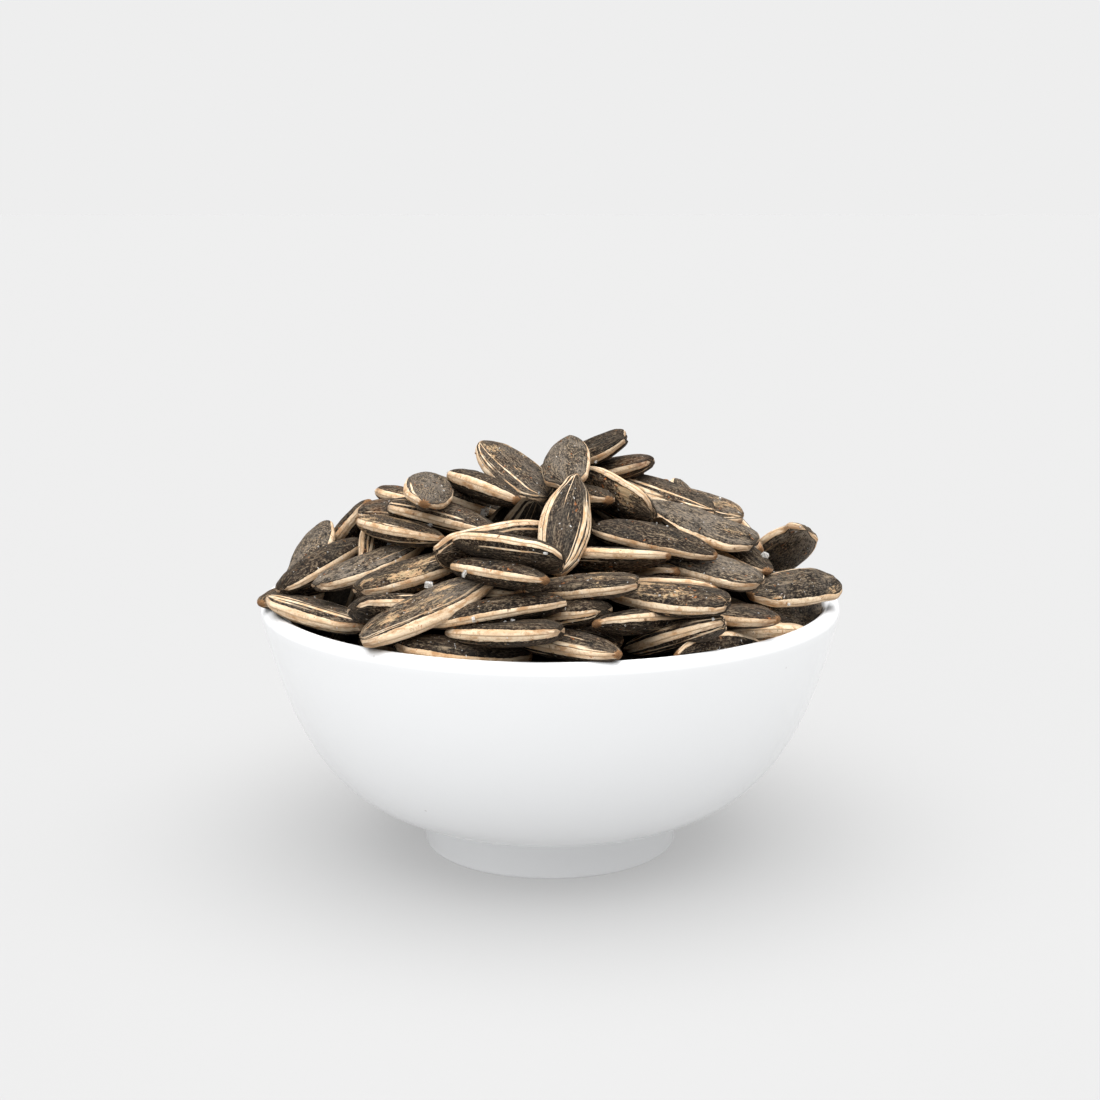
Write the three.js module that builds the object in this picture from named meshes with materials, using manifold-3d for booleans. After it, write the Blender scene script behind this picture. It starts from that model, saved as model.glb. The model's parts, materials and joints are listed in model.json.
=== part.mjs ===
// A small white footed bowl, heaped above its rim with roasted striped sunflower seeds in the shell.
// Millimetres, +Z up. The origin is on the table, on the bowl's axis, under the middle of the foot ring.
// The camera of the photograph looks along +Y, so the front of the heap is towards -Y.
import * as THREE from "three";
import { mergeVertices } from "three/addons/utils/BufferGeometryUtils.js";
import Module from "manifold-3d";

const wasm = await Module();
wasm.setup();

// ---- Driving dimensions of the bowl ----
const RIM_RADIUS = 50; // outside of the rim
const BOWL_HEIGHT = 44.5;
const WALL = 2.8; // thickness at the rim, rounded over to a full lip
const FLOOR_HEIGHT = 10.5; // top of the inside floor above the table
const FOOT_RADIUS = 22.2; // outside of the foot ring where it stands
const FOOT_FLARE = 0.5; // how much wider the foot is where it joins the belly
const FOOT_HEIGHT = 6.5;
const FOOT_RING_WIDTH = 4.2;
const FOOT_RECESS = 3.2; // depth of the hollow inside the foot ring
const FOOT_EDGE = 0.6; // small bevel on both edges of the ring's standing face
const BOWL_SEGMENTS = 60;

// ---- Driving dimensions of the heap ----
const HEAP_TOP = 63; // crown of the packed heap, without the seeds that lie on it
const HEAP_EDGE_RADIUS = 46.6; // where the heap meets the wall
const HEAP_EDGE_HEIGHT = 42.5;
const HEAP_POWER = 2.2; // 2 is a round dome, more is a flatter crown with steeper sides
const WALL_GAP = 0.3; // clearance between the heap and the bowl
const HEAP_SEGMENTS = 30; // half the bowl's, so that the two sets of facets keep in step

// ---- One seed: a flat, pointed oval ----
const SEED_LENGTH = 21.5;
const SEED_WIDTH = 8.6;
const SEED_THICKNESS = 4.6;
const SEED_TAPER = 0.34; // how much narrower the pointed half is than the blunt half
const SEED_FULLNESS = 0.25; // 0 is an oval with fine ends, more rounds the ends out
const SEED_SIDES = 6; // a flat hexagon across, with two of its corners on the seed's edges
const SEED_ROWS = 5;

// ---- Seeds on the heap's surface ----
const SURFACE_SEEDS = 48;
const SURFACE_REACH = 43.5; // radius of the outermost seed's middle
const GOLDEN_ANGLE = Math.PI * (3 - Math.sqrt(5)); // spreads points evenly over a disc
const SURFACE_SINK = 0.4; // how deep a seed's middle lies below the packed surface
const TILT_SPREAD = 16; // degrees of unevenness in how the seeds lie
const LIFT_SPREAD = 1.6;

const degrees = THREE.MathUtils.degToRad;

// A seed by name: x, y and z of its middle, the heading of its tip seen from above (0 is +X, 90 is +Y), the
// rise of its tip and its roll about its own length.
const NAMED_SEEDS = [
  { x: -6.2, y: -3, z: 65, heading: -20, rise: -36, roll: 12 }, // leans on the crown, blunt end up
  { x: 3.2, y: -4, z: 66, heading: 100, rise: 12, roll: 10 }, // points away on the crown
  { x: 9, y: 6, z: 66.8, heading: 12, rise: 24, roll: -14 }, // highest tip, to the right
  { x: 17.0, y: 8, z: 63.6, heading: 14, rise: 8, roll: 0 },
  { x: -20.5, y: -6, z: 60.6, heading: -16, rise: -4, roll: 15 },
  { x: -38.6, y: -13.5, z: 45.9, heading: -6, rise: -12, roll: 22 }, // lies along the left rim
  { x: -18.6, y: -40.5, z: 49.9, heading: 20, rise: 26, roll: 24 }, // stands out over the front rim
  { x: 39.6, y: -11.5, z: 49.0, heading: 14, rise: 12, roll: 20 }, // lies over the right rim
  { x: 40.6, y: 2.5, z: 51.4, heading: 62, rise: 12, roll: 32 },
  { x: -36.2, y: 0.5, z: 55.0, heading: 40, rise: 32, roll: 60 },
];

// The same row of numbers on every run, from 0 to 1.
function* evenNoise(seed) {
  let state = seed;
  while (true) {
    state = (state * 16807) % 2147483647;
    yield state / 2147483647;
  }
}

function arc(centreR, centreZ, radius, fromDegrees, toDegrees, steps) {
  return Array.from({ length: steps + 1 }, (_, i) => {
    const angle = degrees(fromDegrees + ((toDegrees - fromDegrees) * i) / steps);
    return new THREE.Vector2(
      centreR + radius * Math.cos(angle),
      centreZ + radius * Math.sin(angle),
    );
  });
}

function curve(from, bend1, bend2, to, steps) {
  const points = [from, bend1, bend2, to].map(([r, z]) => new THREE.Vector2(r, z));
  return new THREE.CubicBezierCurve(...points).getPoints(steps);
}

// Belly of the bowl from the lip down to the foot, full at the bottom and nearly upright at the rim.
const OUTSIDE = curve(
  [RIM_RADIUS, BOWL_HEIGHT - WALL / 2],
  [RIM_RADIUS - 4.6, BOWL_HEIGHT * 0.51],
  [RIM_RADIUS - 10.7, BOWL_HEIGHT * 0.21],
  [FOOT_RADIUS + FOOT_FLARE, FOOT_HEIGHT],
  9,
);

// The inside keeps the wall's thickness and thickens a little towards the floor.
const INSIDE = curve(
  [0, FLOOR_HEIGHT],
  [RIM_RADIUS - 18, FLOOR_HEIGHT],
  [RIM_RADIUS - 8.4, BOWL_HEIGHT * 0.5],
  [RIM_RADIUS - WALL, BOWL_HEIGHT - WALL / 2],
  8,
);

const LIP = arc(RIM_RADIUS - WALL / 2, BOWL_HEIGHT - WALL / 2, WALL / 2, 180, 0, 4);

// Turns a profile of radius and height round the upright axis.
function turned(profile, segments) {
  return new THREE.LatheGeometry(profile, segments).rotateX(Math.PI / 2);
}

function bowlGeometry() {
  const ringInside = FOOT_RADIUS - FOOT_RING_WIDTH;
  const foot = [
    [FOOT_RADIUS, FOOT_EDGE],
    [FOOT_RADIUS - FOOT_EDGE, 0],
    [ringInside + FOOT_EDGE, 0],
    [ringInside, FOOT_EDGE],
    [ringInside - FOOT_EDGE, FOOT_RECESS],
    [0, FOOT_RECESS],
  ].map(([r, z]) => new THREE.Vector2(r, z));
  const profile = [...INSIDE.slice(0, -1), ...LIP.slice(0, -1), ...OUTSIDE, ...foot];
  return turned(profile.reverse(), BOWL_SEGMENTS);
}

// Everything that the heap must stay out of: the bowl grown by the gap, down past the table.
function wallCutterGeometry() {
  const grown = INSIDE.map((p) => new THREE.Vector2(Math.max(0, p.x - WALL_GAP), p.y + WALL_GAP));
  const lip = arc(
    RIM_RADIUS - WALL / 2,
    BOWL_HEIGHT - WALL / 2,
    WALL / 2 + WALL_GAP,
    180,
    0,
    4,
  );
  const outer = RIM_RADIUS + 2 * WALL;
  const skirt = [
    [outer, BOWL_HEIGHT - WALL / 2],
    [outer, -WALL],
    [0, -WALL],
  ].map(([r, z]) => new THREE.Vector2(r, z));
  return turned([...grown.slice(0, -1), ...lip, ...skirt].reverse(), HEAP_SEGMENTS);
}

function heapHeight(radius) {
  const share = Math.min(1, radius / HEAP_EDGE_RADIUS);
  return HEAP_TOP - (HEAP_TOP - HEAP_EDGE_HEIGHT) * Math.pow(share, HEAP_POWER);
}

// The packed heap: a dome over a body that runs down into the wall cutter.
function packedGeometry() {
  const steps = 7;
  const dome = Array.from({ length: steps + 1 }, (_, i) => {
    const radius = (HEAP_EDGE_RADIUS * i) / steps;
    return new THREE.Vector2(radius, heapHeight(radius));
  });
  const below = [
    [HEAP_EDGE_RADIUS, FLOOR_HEIGHT - 1],
    [0, FLOOR_HEIGHT - 1],
  ].map(([r, z]) => new THREE.Vector2(r, z));
  return turned([...dome, ...below].reverse(), HEAP_SEGMENTS);
}

// A seed along +X, blunt end at -X, lying flat.
function seedGeometry() {
  const geometry = new THREE.SphereGeometry(1, SEED_SIDES, SEED_ROWS).rotateZ(-Math.PI / 2);
  const position = geometry.getAttribute("position");
  const faceHeight = Math.sin(Math.PI / 3); // how far the hexagon's flat sides lie from its middle
  for (let i = 0; i < position.count; i++) {
    const along = position.getX(i);
    const around = Math.hypot(position.getY(i), position.getZ(i));
    const girth = (1 - SEED_TAPER * along) * Math.pow(Math.max(around, 0.01), -SEED_FULLNESS);
    position.setXYZ(
      i,
      (along * SEED_LENGTH) / 2,
      (position.getY(i) * girth * SEED_WIDTH) / 2,
      (position.getZ(i) * girth * SEED_THICKNESS) / 2 / faceHeight,
    );
  }
  return geometry;
}

function placedSeed({ x, y, z, heading, rise, roll }) {
  const turn = new THREE.Euler(degrees(roll), degrees(-rise), degrees(heading), "ZYX");
  const place = new THREE.Matrix4()
    .makeRotationFromEuler(turn)
    .setPosition(x, y, z);
  return seedGeometry().applyMatrix4(place);
}

// Seeds spread over the dome, each lying on its slope in a direction of its own.
function surfaceSeeds() {
  const noise = evenNoise(20463);
  const next = () => noise.next().value;
  const spread = (most) => (2 * next() - 1) * most;
  return Array.from({ length: SURFACE_SEEDS }, (_, i) => {
    const radius = SURFACE_REACH * Math.sqrt((i + 0.5) / SURFACE_SEEDS);
    const around = i * GOLDEN_ANGLE;
    const nearRim = radius / SURFACE_REACH;
    // Near the rim a seed that pointed outwards would lie across the lip, so it turns to lie along it.
    const fromTangent = spread(90) * (1 - 0.75 * nearRim ** 4);
    const heading = THREE.MathUtils.radToDeg(around) + 90 + fromTangent;
    const slope = Math.atan2(heapHeight(radius) - heapHeight(radius + 1), 1);
    const downhill = degrees(fromTangent + 90);
    const rise = -THREE.MathUtils.radToDeg(slope) * Math.cos(downhill) + spread(TILT_SPREAD);
    const roll = -THREE.MathUtils.radToDeg(slope) * Math.sin(downhill) + spread(TILT_SPREAD);
    return {
      x: radius * Math.cos(around),
      y: radius * Math.sin(around),
      z: heapHeight(radius) - SURFACE_SINK + spread(LIFT_SPREAD),
      heading,
      rise,
      roll,
    };
  });
}

function solidOf(geometry) {
  const bare = geometry.clone();
  bare.deleteAttribute("normal");
  bare.deleteAttribute("uv");
  const merged = mergeVertices(bare, 1e-3);
  return new wasm.Manifold(
    new wasm.Mesh({
      numProp: 3,
      vertProperties: merged.getAttribute("position").array,
      triVerts: new Uint32Array(merged.index.array),
    }),
  );
}

function geometryOf(solid) {
  const mesh = solid.getMesh();
  const vertices = new Float32Array(mesh.numVert * 3);
  for (let i = 0; i < mesh.numVert; i++) {
    vertices.set(mesh.vertProperties.subarray(i * mesh.numProp, i * mesh.numProp + 3), i * 3);
  }
  return new THREE.BufferGeometry()
    .setAttribute("position", new THREE.BufferAttribute(vertices, 3))
    .setIndex(new THREE.BufferAttribute(mesh.triVerts, 1));
}

// The heap is one solid out to the seeds that show: the dome and its seeds joined, less the bowl's wall.
function heapGeometry() {
  let heap = solidOf(packedGeometry());
  for (const seed of [...surfaceSeeds(), ...NAMED_SEEDS]) {
    heap = heap.add(solidOf(placedSeed(seed)));
  }
  heap = heap.subtract(solidOf(wallCutterGeometry()));
  const pieces = heap.decompose().sort((a, b) => b.volume() - a.volume());
  return geometryOf(pieces[0]);
}

function bowlMesh() {
  const glaze = new THREE.MeshStandardMaterial({ color: 0xf4f5f5, roughness: 0.3, metalness: 0 });
  const mesh = new THREE.Mesh(bowlGeometry(), glaze);
  mesh.name = "bowl";
  return mesh;
}

function heapMesh() {
  const hulls = new THREE.MeshStandardMaterial({ color: 0x55493c, roughness: 0.75, metalness: 0 });
  const mesh = new THREE.Mesh(heapGeometry(), hulls);
  mesh.name = "seed_heap";
  return mesh;
}

const bowlOfSeeds = new THREE.Group();
bowlOfSeeds.add(bowlMesh(), heapMesh());

export default bowlOfSeeds;
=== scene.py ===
"""A small white footed bowl, heaped above its rim with roasted striped sunflower seeds in the shell.

Laid out as a Blender add-on and run as a script: the sizes and colours are properties, each kind of piece has
an operator of its own, and main() calls them in order. Sizes are in metres unless a name ends in _MM.
"""

import json
import math
from typing import NamedTuple

import bpy
import numpy as np
from mathutils import Matrix, Vector
from mathutils.bvhtree import BVHTree

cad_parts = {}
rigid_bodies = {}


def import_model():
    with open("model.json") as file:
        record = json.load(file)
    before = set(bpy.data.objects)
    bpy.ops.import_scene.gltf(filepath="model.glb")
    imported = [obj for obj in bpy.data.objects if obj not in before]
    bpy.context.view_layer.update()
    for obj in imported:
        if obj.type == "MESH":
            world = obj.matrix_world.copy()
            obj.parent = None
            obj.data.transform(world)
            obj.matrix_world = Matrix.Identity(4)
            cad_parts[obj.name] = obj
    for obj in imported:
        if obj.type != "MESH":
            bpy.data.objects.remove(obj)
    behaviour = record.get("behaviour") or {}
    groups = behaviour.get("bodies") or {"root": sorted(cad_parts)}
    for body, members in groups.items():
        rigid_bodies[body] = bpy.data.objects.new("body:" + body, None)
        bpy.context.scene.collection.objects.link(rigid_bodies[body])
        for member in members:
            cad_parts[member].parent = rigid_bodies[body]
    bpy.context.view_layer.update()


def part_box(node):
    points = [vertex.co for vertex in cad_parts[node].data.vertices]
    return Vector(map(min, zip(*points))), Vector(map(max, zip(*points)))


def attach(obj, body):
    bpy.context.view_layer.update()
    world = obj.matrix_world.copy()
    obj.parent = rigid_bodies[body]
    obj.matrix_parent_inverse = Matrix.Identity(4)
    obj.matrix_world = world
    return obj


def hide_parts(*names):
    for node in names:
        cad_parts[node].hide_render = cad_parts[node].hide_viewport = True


bl_info = {
    "name": "Bowl of Roasted Sunflower Seeds",
    "version": (1, 0, 0),
    "blender": (4, 5, 0),
    "location": "3D View > Sidebar > Seed Bowl",
    "description": "Makes a glazed footed bowl heaped with roasted sunflower seeds in the shell",
    "category": "Add Mesh",
}

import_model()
BOWL_LOW, BOWL_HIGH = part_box("bowl")

MM = 0.001
RIM_MM = (BOWL_HIGH[0] - BOWL_LOW[0]) / 2 / MM
BOWL_HEIGHT_MM = BOWL_HIGH[2] / MM

# ---- Camera of the photograph, from the ellipses of the rim and the foot ----
IMAGE_SIZE = 1100  # pixels each way
SENSOR_MM = 36
LENS_MM = 61.1
CAMERA_AWAY_MM = 318.3  # in front of the bowl's axis
CAMERA_UP_MM = 115.1
CAMERA_PITCH = math.radians(11.22)  # below level

# ---- The heap ----
SEED_LENGTH_MM = 21.5
SEED_WIDTH_MM = 8.5
SEED_THICKNESS_MM = 4.3
SEED_EDGE_MM = 1.7  # thickness of the hull's blunt edge
HEAP_TOP_MM = 64.0  # of the smooth dome that the seeds' middles lie on
HEAP_EDGE_MM = 43.5
HEAP_RADIUS_MM = 47.0
HEAP_POWER = 2.2
BACK_FALL = 0.13  # how much lower the dome runs for each millimetre towards the back
LAYER_MM = 9.4  # from one layer of seeds to the next
CORE_DEPTH_MM = 18.0  # how far the core lies below the dome
CORE_EDGE_MM = 44.5  # where the core's level at the wall is measured
HIDDEN_FROM_MM = 9.0  # the heap's surface further back than this doesn't show in the photograph
HIDDEN_SIDE_MM = 34.0  # nor does what lies behind the middle and further out than this
SURFACE_REACH_MM = 43.5  # outermost middles of the surface seeds
LOWER_REACH_MM = 40.0
CLEAR_OF_SEEN_MM = 8.2  # from a seed placed by the photograph to one that isn't
SCATTER_HEIGHT_MM = 90.0  # salt and crumbs fall from here, above the heap
SALT_REACH_MM = 45.0  # outermost salt and crumbs
CRUMB_REACH_MM = 44.0
FINE_MESH = (48, 42)  # rings along a seed that shows, and spokes round it
COARSE_MESH = (26, 20)  # the same for a seed below the surface


class Seen(NamedTuple):
    """A seed that shows in the photograph, placed by the pixels of its two ends."""

    name: str
    blunt: tuple  # pixel of the blunt end, guessed where another seed covers it
    tip: tuple  # pixel of the pointed end
    turn: float  # degrees: 0 has a face to the camera, 90 an edge with the upper face above it
    nearer: int  # 1 where the tip is nearer to the camera, -1 where the blunt end is
    lift: float  # millimetres in front of the dome
    look: str  # how the hull is marked, a key of LOOKS
    size: float = 1.0
    pointed: float = 0.06  # how much finer the tip is than the blunt end


SEEN = (
    # the crown
    Seen("crown_left", (547, 499), (480, 443), 40, -1, 2.5, "streaky", pointed=0.0),
    Seen("crown_front", (566, 485), (570, 439), 14, -1, 6.0, "ashy", 0.97, pointed=0.1),
    Seen("crown_right", (624, 440), (540, 478), 64, -1, -5.0, "coal"),
    Seen("crown_scar", (556, 486), (612, 501), 73, 1, -3.0, "coal", 0.92),
    Seen("crown_brown", (650, 465), (545, 480), 85, -1, -2.0, "brown"),
    Seen("crown_striped", (712, 517), (611, 473), 78, -1, -2.5, "lined"),
    Seen("crown_peeled", (648, 515), (562, 478), 137, -1, 0.5, "worn"),
    Seen("centre_upright", (556, 573), (577, 474), -4, -1, 0.5, "broad", 1.0, pointed=0.2),
    Seen("crown_edge_on", (456, 479), (517, 501), 96, 1, 6.0, "edged", 0.9, pointed=0.0),
    # the left side
    Seen("left_blunt", (428, 482), (425, 509), -10, 1, 14.0, "ashy", 0.92, pointed=0.0),
    Seen("left_long", (410, 480), (534, 523), 69, 1, -4.0, "dusty"),
    Seen("left_tan", (377, 491), (480, 524), 86, 1, -4.5, "tan"),
    Seen("left_lined", (390, 508), (500, 533), 73, 1, -1.5, "lined"),
    Seen("left_brown", (362, 515), (470, 513), 71, 1, -4.0, "brown"),
    Seen("left_worn", (365, 521), (442, 537), 81, 1, 0.0, "worn"),
    Seen("left_pale_edge", (318, 564), (367, 504), 100, 1, -2.5, "edged"),
    Seen("left_far", (303, 588), (331, 524), 58, -1, 1.5, "ashy", 0.93),
    Seen("left_behind", (372, 568), (384, 514), -48, -1, -4.0, "lined"),
    Seen("left_short", (284, 594), (360, 541), 76, -1, 1.0, "coal", 0.93, pointed=0.0),
    Seen("left_wide", (316, 587), (428, 538), 68, -1, 0.5, "dusty", pointed=0.22),
    Seen("left_rim", (364, 626), (264, 596), 70, -1, 0.5, "rimmed"),
    Seen("left_under", (352, 580), (260, 600), 73, 1, -2.0, "worn"),
    Seen("left_scuffed", (360, 593), (474, 555), 71, -1, 0.0, "worn"),
    Seen("left_facing_down", (356, 606), (466, 612), 112, -1, -1.0, "coal", pointed=0.0),
    Seen("hero_front", (360, 640), (494, 580), 46, -1, 4.5, "hero", 1.06, pointed=0.02),
    # the middle
    Seen("oval_front", (558, 564), (452, 546), 128, -1, 5.5, "coal", 1.0, pointed=0.0),
    Seen("oval_behind", (436, 556), (556, 528), 124, -1, 0.0, "lined"),
    Seen("middle_small", (457, 571), (546, 580), 74, 1, 3.0, "coal", 0.95),
    Seen("middle_long", (635, 585), (522, 592), 68, -1, 0.5, "worn", 0.95, pointed=0.0),
    Seen("front_lower", (558, 630), (446, 632), 96, -1, 1.5, "edged", 0.98),
    Seen("front_upper", (566, 606), (430, 618), 81, -1, -0.5, "coal"),
    Seen("front_rim", (393, 642), (536, 651), 68, 1, 1.5, "edged", pointed=0.2),
    Seen("front_tilted", (519, 630), (619, 658), 57, 1, 3.0, "lined", 1.0),
    Seen("front_hidden", (618, 643), (520, 615), 61, -1, -4.5, "brown"),
    Seen("front_dim", (604, 613), (500, 624), 89, -1, -3.5, "coal"),
    Seen("front_sliver", (424, 600), (520, 596), 98, 1, -3.5, "coal"),
    # the right side
    Seen("right_top", (741, 519), (632, 493), 65, -1, 0.0, "faded"),
    Seen("right_large", (752, 547), (643, 505), 61, -1, 1.5, "ashy", 1.02, pointed=0.0),
    Seen("right_pointed", (594, 529), (717, 555), 71, 1, 1.0, "coal", pointed=0.25),
    Seen("right_facing_down", (545, 561), (670, 557), 110, 1, -0.5, "edged"),
    Seen("right_nose", (608, 592), (678, 574), 86, 1, -4.5, "coal", 0.8),
    Seen("right_lower", (759, 584), (645, 552), 64, -1, 0.0, "ashy"),
    Seen("right_tan_sliver", (600, 586), (716, 592), 96, 1, -2.5, "tan"),
    Seen("right_flecked", (729, 608), (609, 594), 60, -1, 1.5, "worn", pointed=0.05),
    Seen("right_scar", (666, 607), (779, 621), 81, 1, -1.0, "tan"),
    Seen("right_arched", (684, 622), (594, 619), 104, 1, -0.5, "coal", 0.95),
    Seen("right_rim_low", (725, 627), (624, 647), 84, -1, 0.5, "lined", 0.96),
    Seen("right_at_rim", (756, 654), (678, 652), -14, 1, 0.5, "coal", 0.95),
    Seen("right_rim_sliver", (800, 632), (718, 641), 98, 1, -3.5, "pale", 0.95),
    Seen("right_over_rim", (835, 582), (750, 596), 50, 1, 4.0, "grey", pointed=0.0),
    Seen("right_under_rim", (830, 607), (772, 617), 36, 1, -3.0, "ashy", 0.9),
    Seen("right_far", (803, 531), (752, 580), -34, -1, 0.0, "dusty"),
    Seen("right_pale", (708, 512), (761, 552), 104, 1, -2.5, "pale"),
    Seen("right_thin", (700, 520), (767, 573), 70, 1, -1.5, "coal", 0.95),
    Seen("far_tip", (712, 540), (676, 480), 70, -1, -4.0, "ashy"),
)


class Look(NamedTuple):
    """How a hull is marked. Each value but the band's runs from 0 to 1."""

    stripes: float  # how much of the face is cream stripes
    scuffs: float  # how much of the dark skin has flaked off in cream flecks
    band_mm: float  # how far the cream of the edge runs onto the faces
    brown: float
    ash: float  # grey bloom on the dark skin, partly ash and partly painted sheen


LOOKS = {
    "coal": Look(0.10, 0.10, 0.62, 0.15, 0.10),
    "edged": Look(0.10, 0.12, 1.00, 0.20, 0.12),
    "lined": Look(0.44, 0.15, 0.75, 0.20, 0.20),
    "rimmed": Look(0.44, 0.12, 1.05, 0.20, 0.30),
    "broad": Look(0.66, 0.08, 1.35, 0.15, 0.20),
    "worn": Look(0.18, 0.68, 0.72, 0.25, 0.15),
    "streaky": Look(0.42, 0.58, 1.00, 0.20, 0.40),
    "hero": Look(0.37, 0.52, 1.75, 0.25, 0.60),
    # the grey bloom of these two looks is partly painted sheen
    "ashy": Look(0.10, 0.12, 0.90, 0.10, 0.80),
    "dusty": Look(0.10, 0.12, 0.85, 0.15, 1.00),
    "grey": Look(0.12, 0.30, 1.00, 0.10, 0.40),
    "brown": Look(0.20, 0.35, 0.75, 0.90, 0.20),
    "faded": Look(0.30, 0.80, 1.10, 0.60, 0.60),
    "tan": Look(0.12, 0.30, 0.95, 0.60, 0.15),
    "pale": Look(0.90, 0.50, 1.60, 0.30, 0.40),
}


class Crystal(NamedTuple):
    """A salt crystal that shows in the photograph."""

    pixel: tuple
    size_mm: float


CRYSTALS = (
    Crystal((485, 512), 1.7),
    Crystal((430, 587), 1.2),
    Crystal((388, 545), 0.9),
    Crystal((431, 524), 0.8),
    Crystal((546, 553), 0.6),
    Crystal((505, 621), 1.0),
    Crystal((513, 619), 0.7),
    Crystal((474, 619), 0.8),
    Crystal((466, 573), 1.1),
    Crystal((713, 620), 0.6),
    Crystal((764, 557), 1.4),
    Crystal((539, 494), 0.5),
    Crystal((596, 461), 0.5),
    Crystal((660, 596), 0.5),
    Crystal((788, 604), 0.6),
)


# ---- Small helpers ----


def linear(hex_colour):
    """Turns an sRGB hex colour into the linear RGBA that the shaders take."""
    channels = [int(hex_colour[i : i + 2], 16) / 255 for i in (1, 3, 5)]
    return (*[c / 12.92 if c <= 0.04045 else ((c + 0.055) / 1.055) ** 2.4 for c in channels], 1.0)


def node(tree, kind, inputs, output=0, **settings):
    """Adds a shader node, sets its own settings, fills or links its inputs, and gives one of its outputs."""
    made = tree.nodes.new("ShaderNode" + kind)
    for key, value in settings.items():
        setattr(made, key, value)
    for key, value in inputs.items():
        if isinstance(value, bpy.types.NodeSocket):
            tree.links.new(value, made.inputs[key])
        else:
            made.inputs[key].default_value = value
    return made.outputs[output] if made.outputs else made


SMOOTH = {"interpolation_type": "SMOOTHSTEP"}
COLOURS = {"output": 2, "data_type": "RGBA"}


def smooth_step(low, high, value):
    share = np.clip((value - low) / (high - low), 0, 1)
    return share * share * (3 - 2 * share)


def unit(vector):
    return vector / np.linalg.norm(vector, axis=-1, keepdims=True)


def new_mesh_object(name, vertices, faces, uvs=None, smooth=True):
    """Links a mesh object, with uvs as one pair for each face corner."""
    mesh = bpy.data.meshes.new(name)
    mesh.from_pydata(vertices.tolist(), [], faces)
    if uvs is not None:
        corners = np.asarray(uvs, dtype=np.float32).ravel()
        mesh.uv_layers.new(name="OFBake").data.foreach_set("uv", corners)
    mesh.polygons.foreach_set("use_smooth", [smooth] * len(mesh.polygons))
    mesh.update()
    piece = bpy.data.objects.new(name, mesh)
    bpy.context.scene.collection.objects.link(piece)
    return piece


def closed_shell(rings, spokes):
    """Faces of a shell that closes in a point at both ends, and the ring and spoke of each face's corners.

    The vertices are the first point, then ring 1 to the last but one with their spokes, then the last point.
    """

    def vertex(ring, spoke):
        if ring == 0:
            return 0
        if ring == rings:
            return 1 + (rings - 1) * spokes
        return 1 + (ring - 1) * spokes + spoke % spokes

    corners = []
    for s in range(spokes):
        corners.append([(0, s + 0.5), (1, s), (1, s + 1)])
        corners += [[(r, s), (r + 1, s), (r + 1, s + 1), (r, s + 1)] for r in range(1, rings - 1)]
        corners.append([(rings, s + 0.5), (rings - 1, s + 1), (rings - 1, s)])
    faces = [tuple(vertex(*corner) for corner in face) for face in corners]
    return faces, corners


def inside_out(face):
    return (face[0], *reversed(face[1:]))


def stands_for(piece, part, material):
    """Gives a piece its material, in place of a CAD node whose slot it takes."""
    piece.data.materials.append(material)
    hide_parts(part)
    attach(piece, "root")


# ---- The camera's view of the heap ----

CAMERA_MM = np.array([0.0, -CAMERA_AWAY_MM, CAMERA_UP_MM])
VIEW_FORWARD = np.array([0.0, math.cos(CAMERA_PITCH), -math.sin(CAMERA_PITCH)])
VIEW_UP = np.array([0.0, math.sin(CAMERA_PITCH), math.cos(CAMERA_PITCH)])
VIEW_RIGHT = np.array([1.0, 0.0, 0.0])
PIXELS_PER_SLOPE = LENS_MM / SENSOR_MM * IMAGE_SIZE


def ray_through(pixel):
    right = (pixel[0] - IMAGE_SIZE / 2) / PIXELS_PER_SLOPE
    up = (IMAGE_SIZE / 2 - pixel[1]) / PIXELS_PER_SLOPE
    return unit(VIEW_FORWARD + right * VIEW_RIGHT + up * VIEW_UP)


def dome_height(x, y):
    """Height of the smooth dome, in millimetres."""
    share = np.minimum(1.15, np.hypot(x, y) / HEAP_RADIUS_MM)
    front = HEAP_TOP_MM - (HEAP_TOP_MM - HEAP_EDGE_MM) * share**HEAP_POWER
    return front - BACK_FALL * np.maximum(0, y) * (1 - 0.6 * share)


def on_dome(pixel):
    """Where the ray through a pixel first meets the dome, or passes closest above it."""
    ray = ray_through(pixel)
    steps = np.arange(CAMERA_AWAY_MM - HEAP_RADIUS_MM - 8, CAMERA_AWAY_MM + 30, 0.25)
    points = CAMERA_MM + steps[:, None] * ray
    above = points[:, 2] - dome_height(points[:, 0], points[:, 1])
    within = np.hypot(points[:, 0], points[:, 1]) < HEAP_RADIUS_MM
    above = np.where(within, above, 99.0)
    hits = np.nonzero(above <= 0)[0]
    return points[hits[0] if len(hits) else int(np.argmin(above))]


def seen_seed_frame(seen, length):
    """Middle and axes of a seed whose two ends fall on the pixels read off the photograph."""
    blunt, tip = np.array(seen.blunt, float), np.array(seen.tip, float)
    centre_pixel = (blunt + tip) / 2
    sight = ray_through(centre_pixel)
    centre = on_dome(centre_pixel) - seen.lift * sight
    scale = np.dot(centre - CAMERA_MM, VIEW_FORWARD) / PIXELS_PER_SLOPE
    right = unit(np.cross(sight, VIEW_UP))
    up = np.cross(right, sight)
    across = ((tip - blunt)[0] * right - (tip - blunt)[1] * up) * scale
    shown = min(np.linalg.norm(across), 0.995 * length)
    depth = math.sqrt(length**2 - shown**2)
    along = unit(unit(across) * shown - seen.nearer * sight * depth)
    facing = unit(-sight + np.dot(sight, along) * along)
    side = np.cross(along, facing)
    if np.dot(side, 0.94 * up - 0.35 * right) < 0:
        side = -side
    turn = math.radians(seen.turn)
    normal = unit(math.cos(turn) * facing + math.sin(turn) * side)
    return centre, np.stack([along, np.cross(normal, along), normal], axis=1)


# ---- The shape of a seed ----

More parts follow.
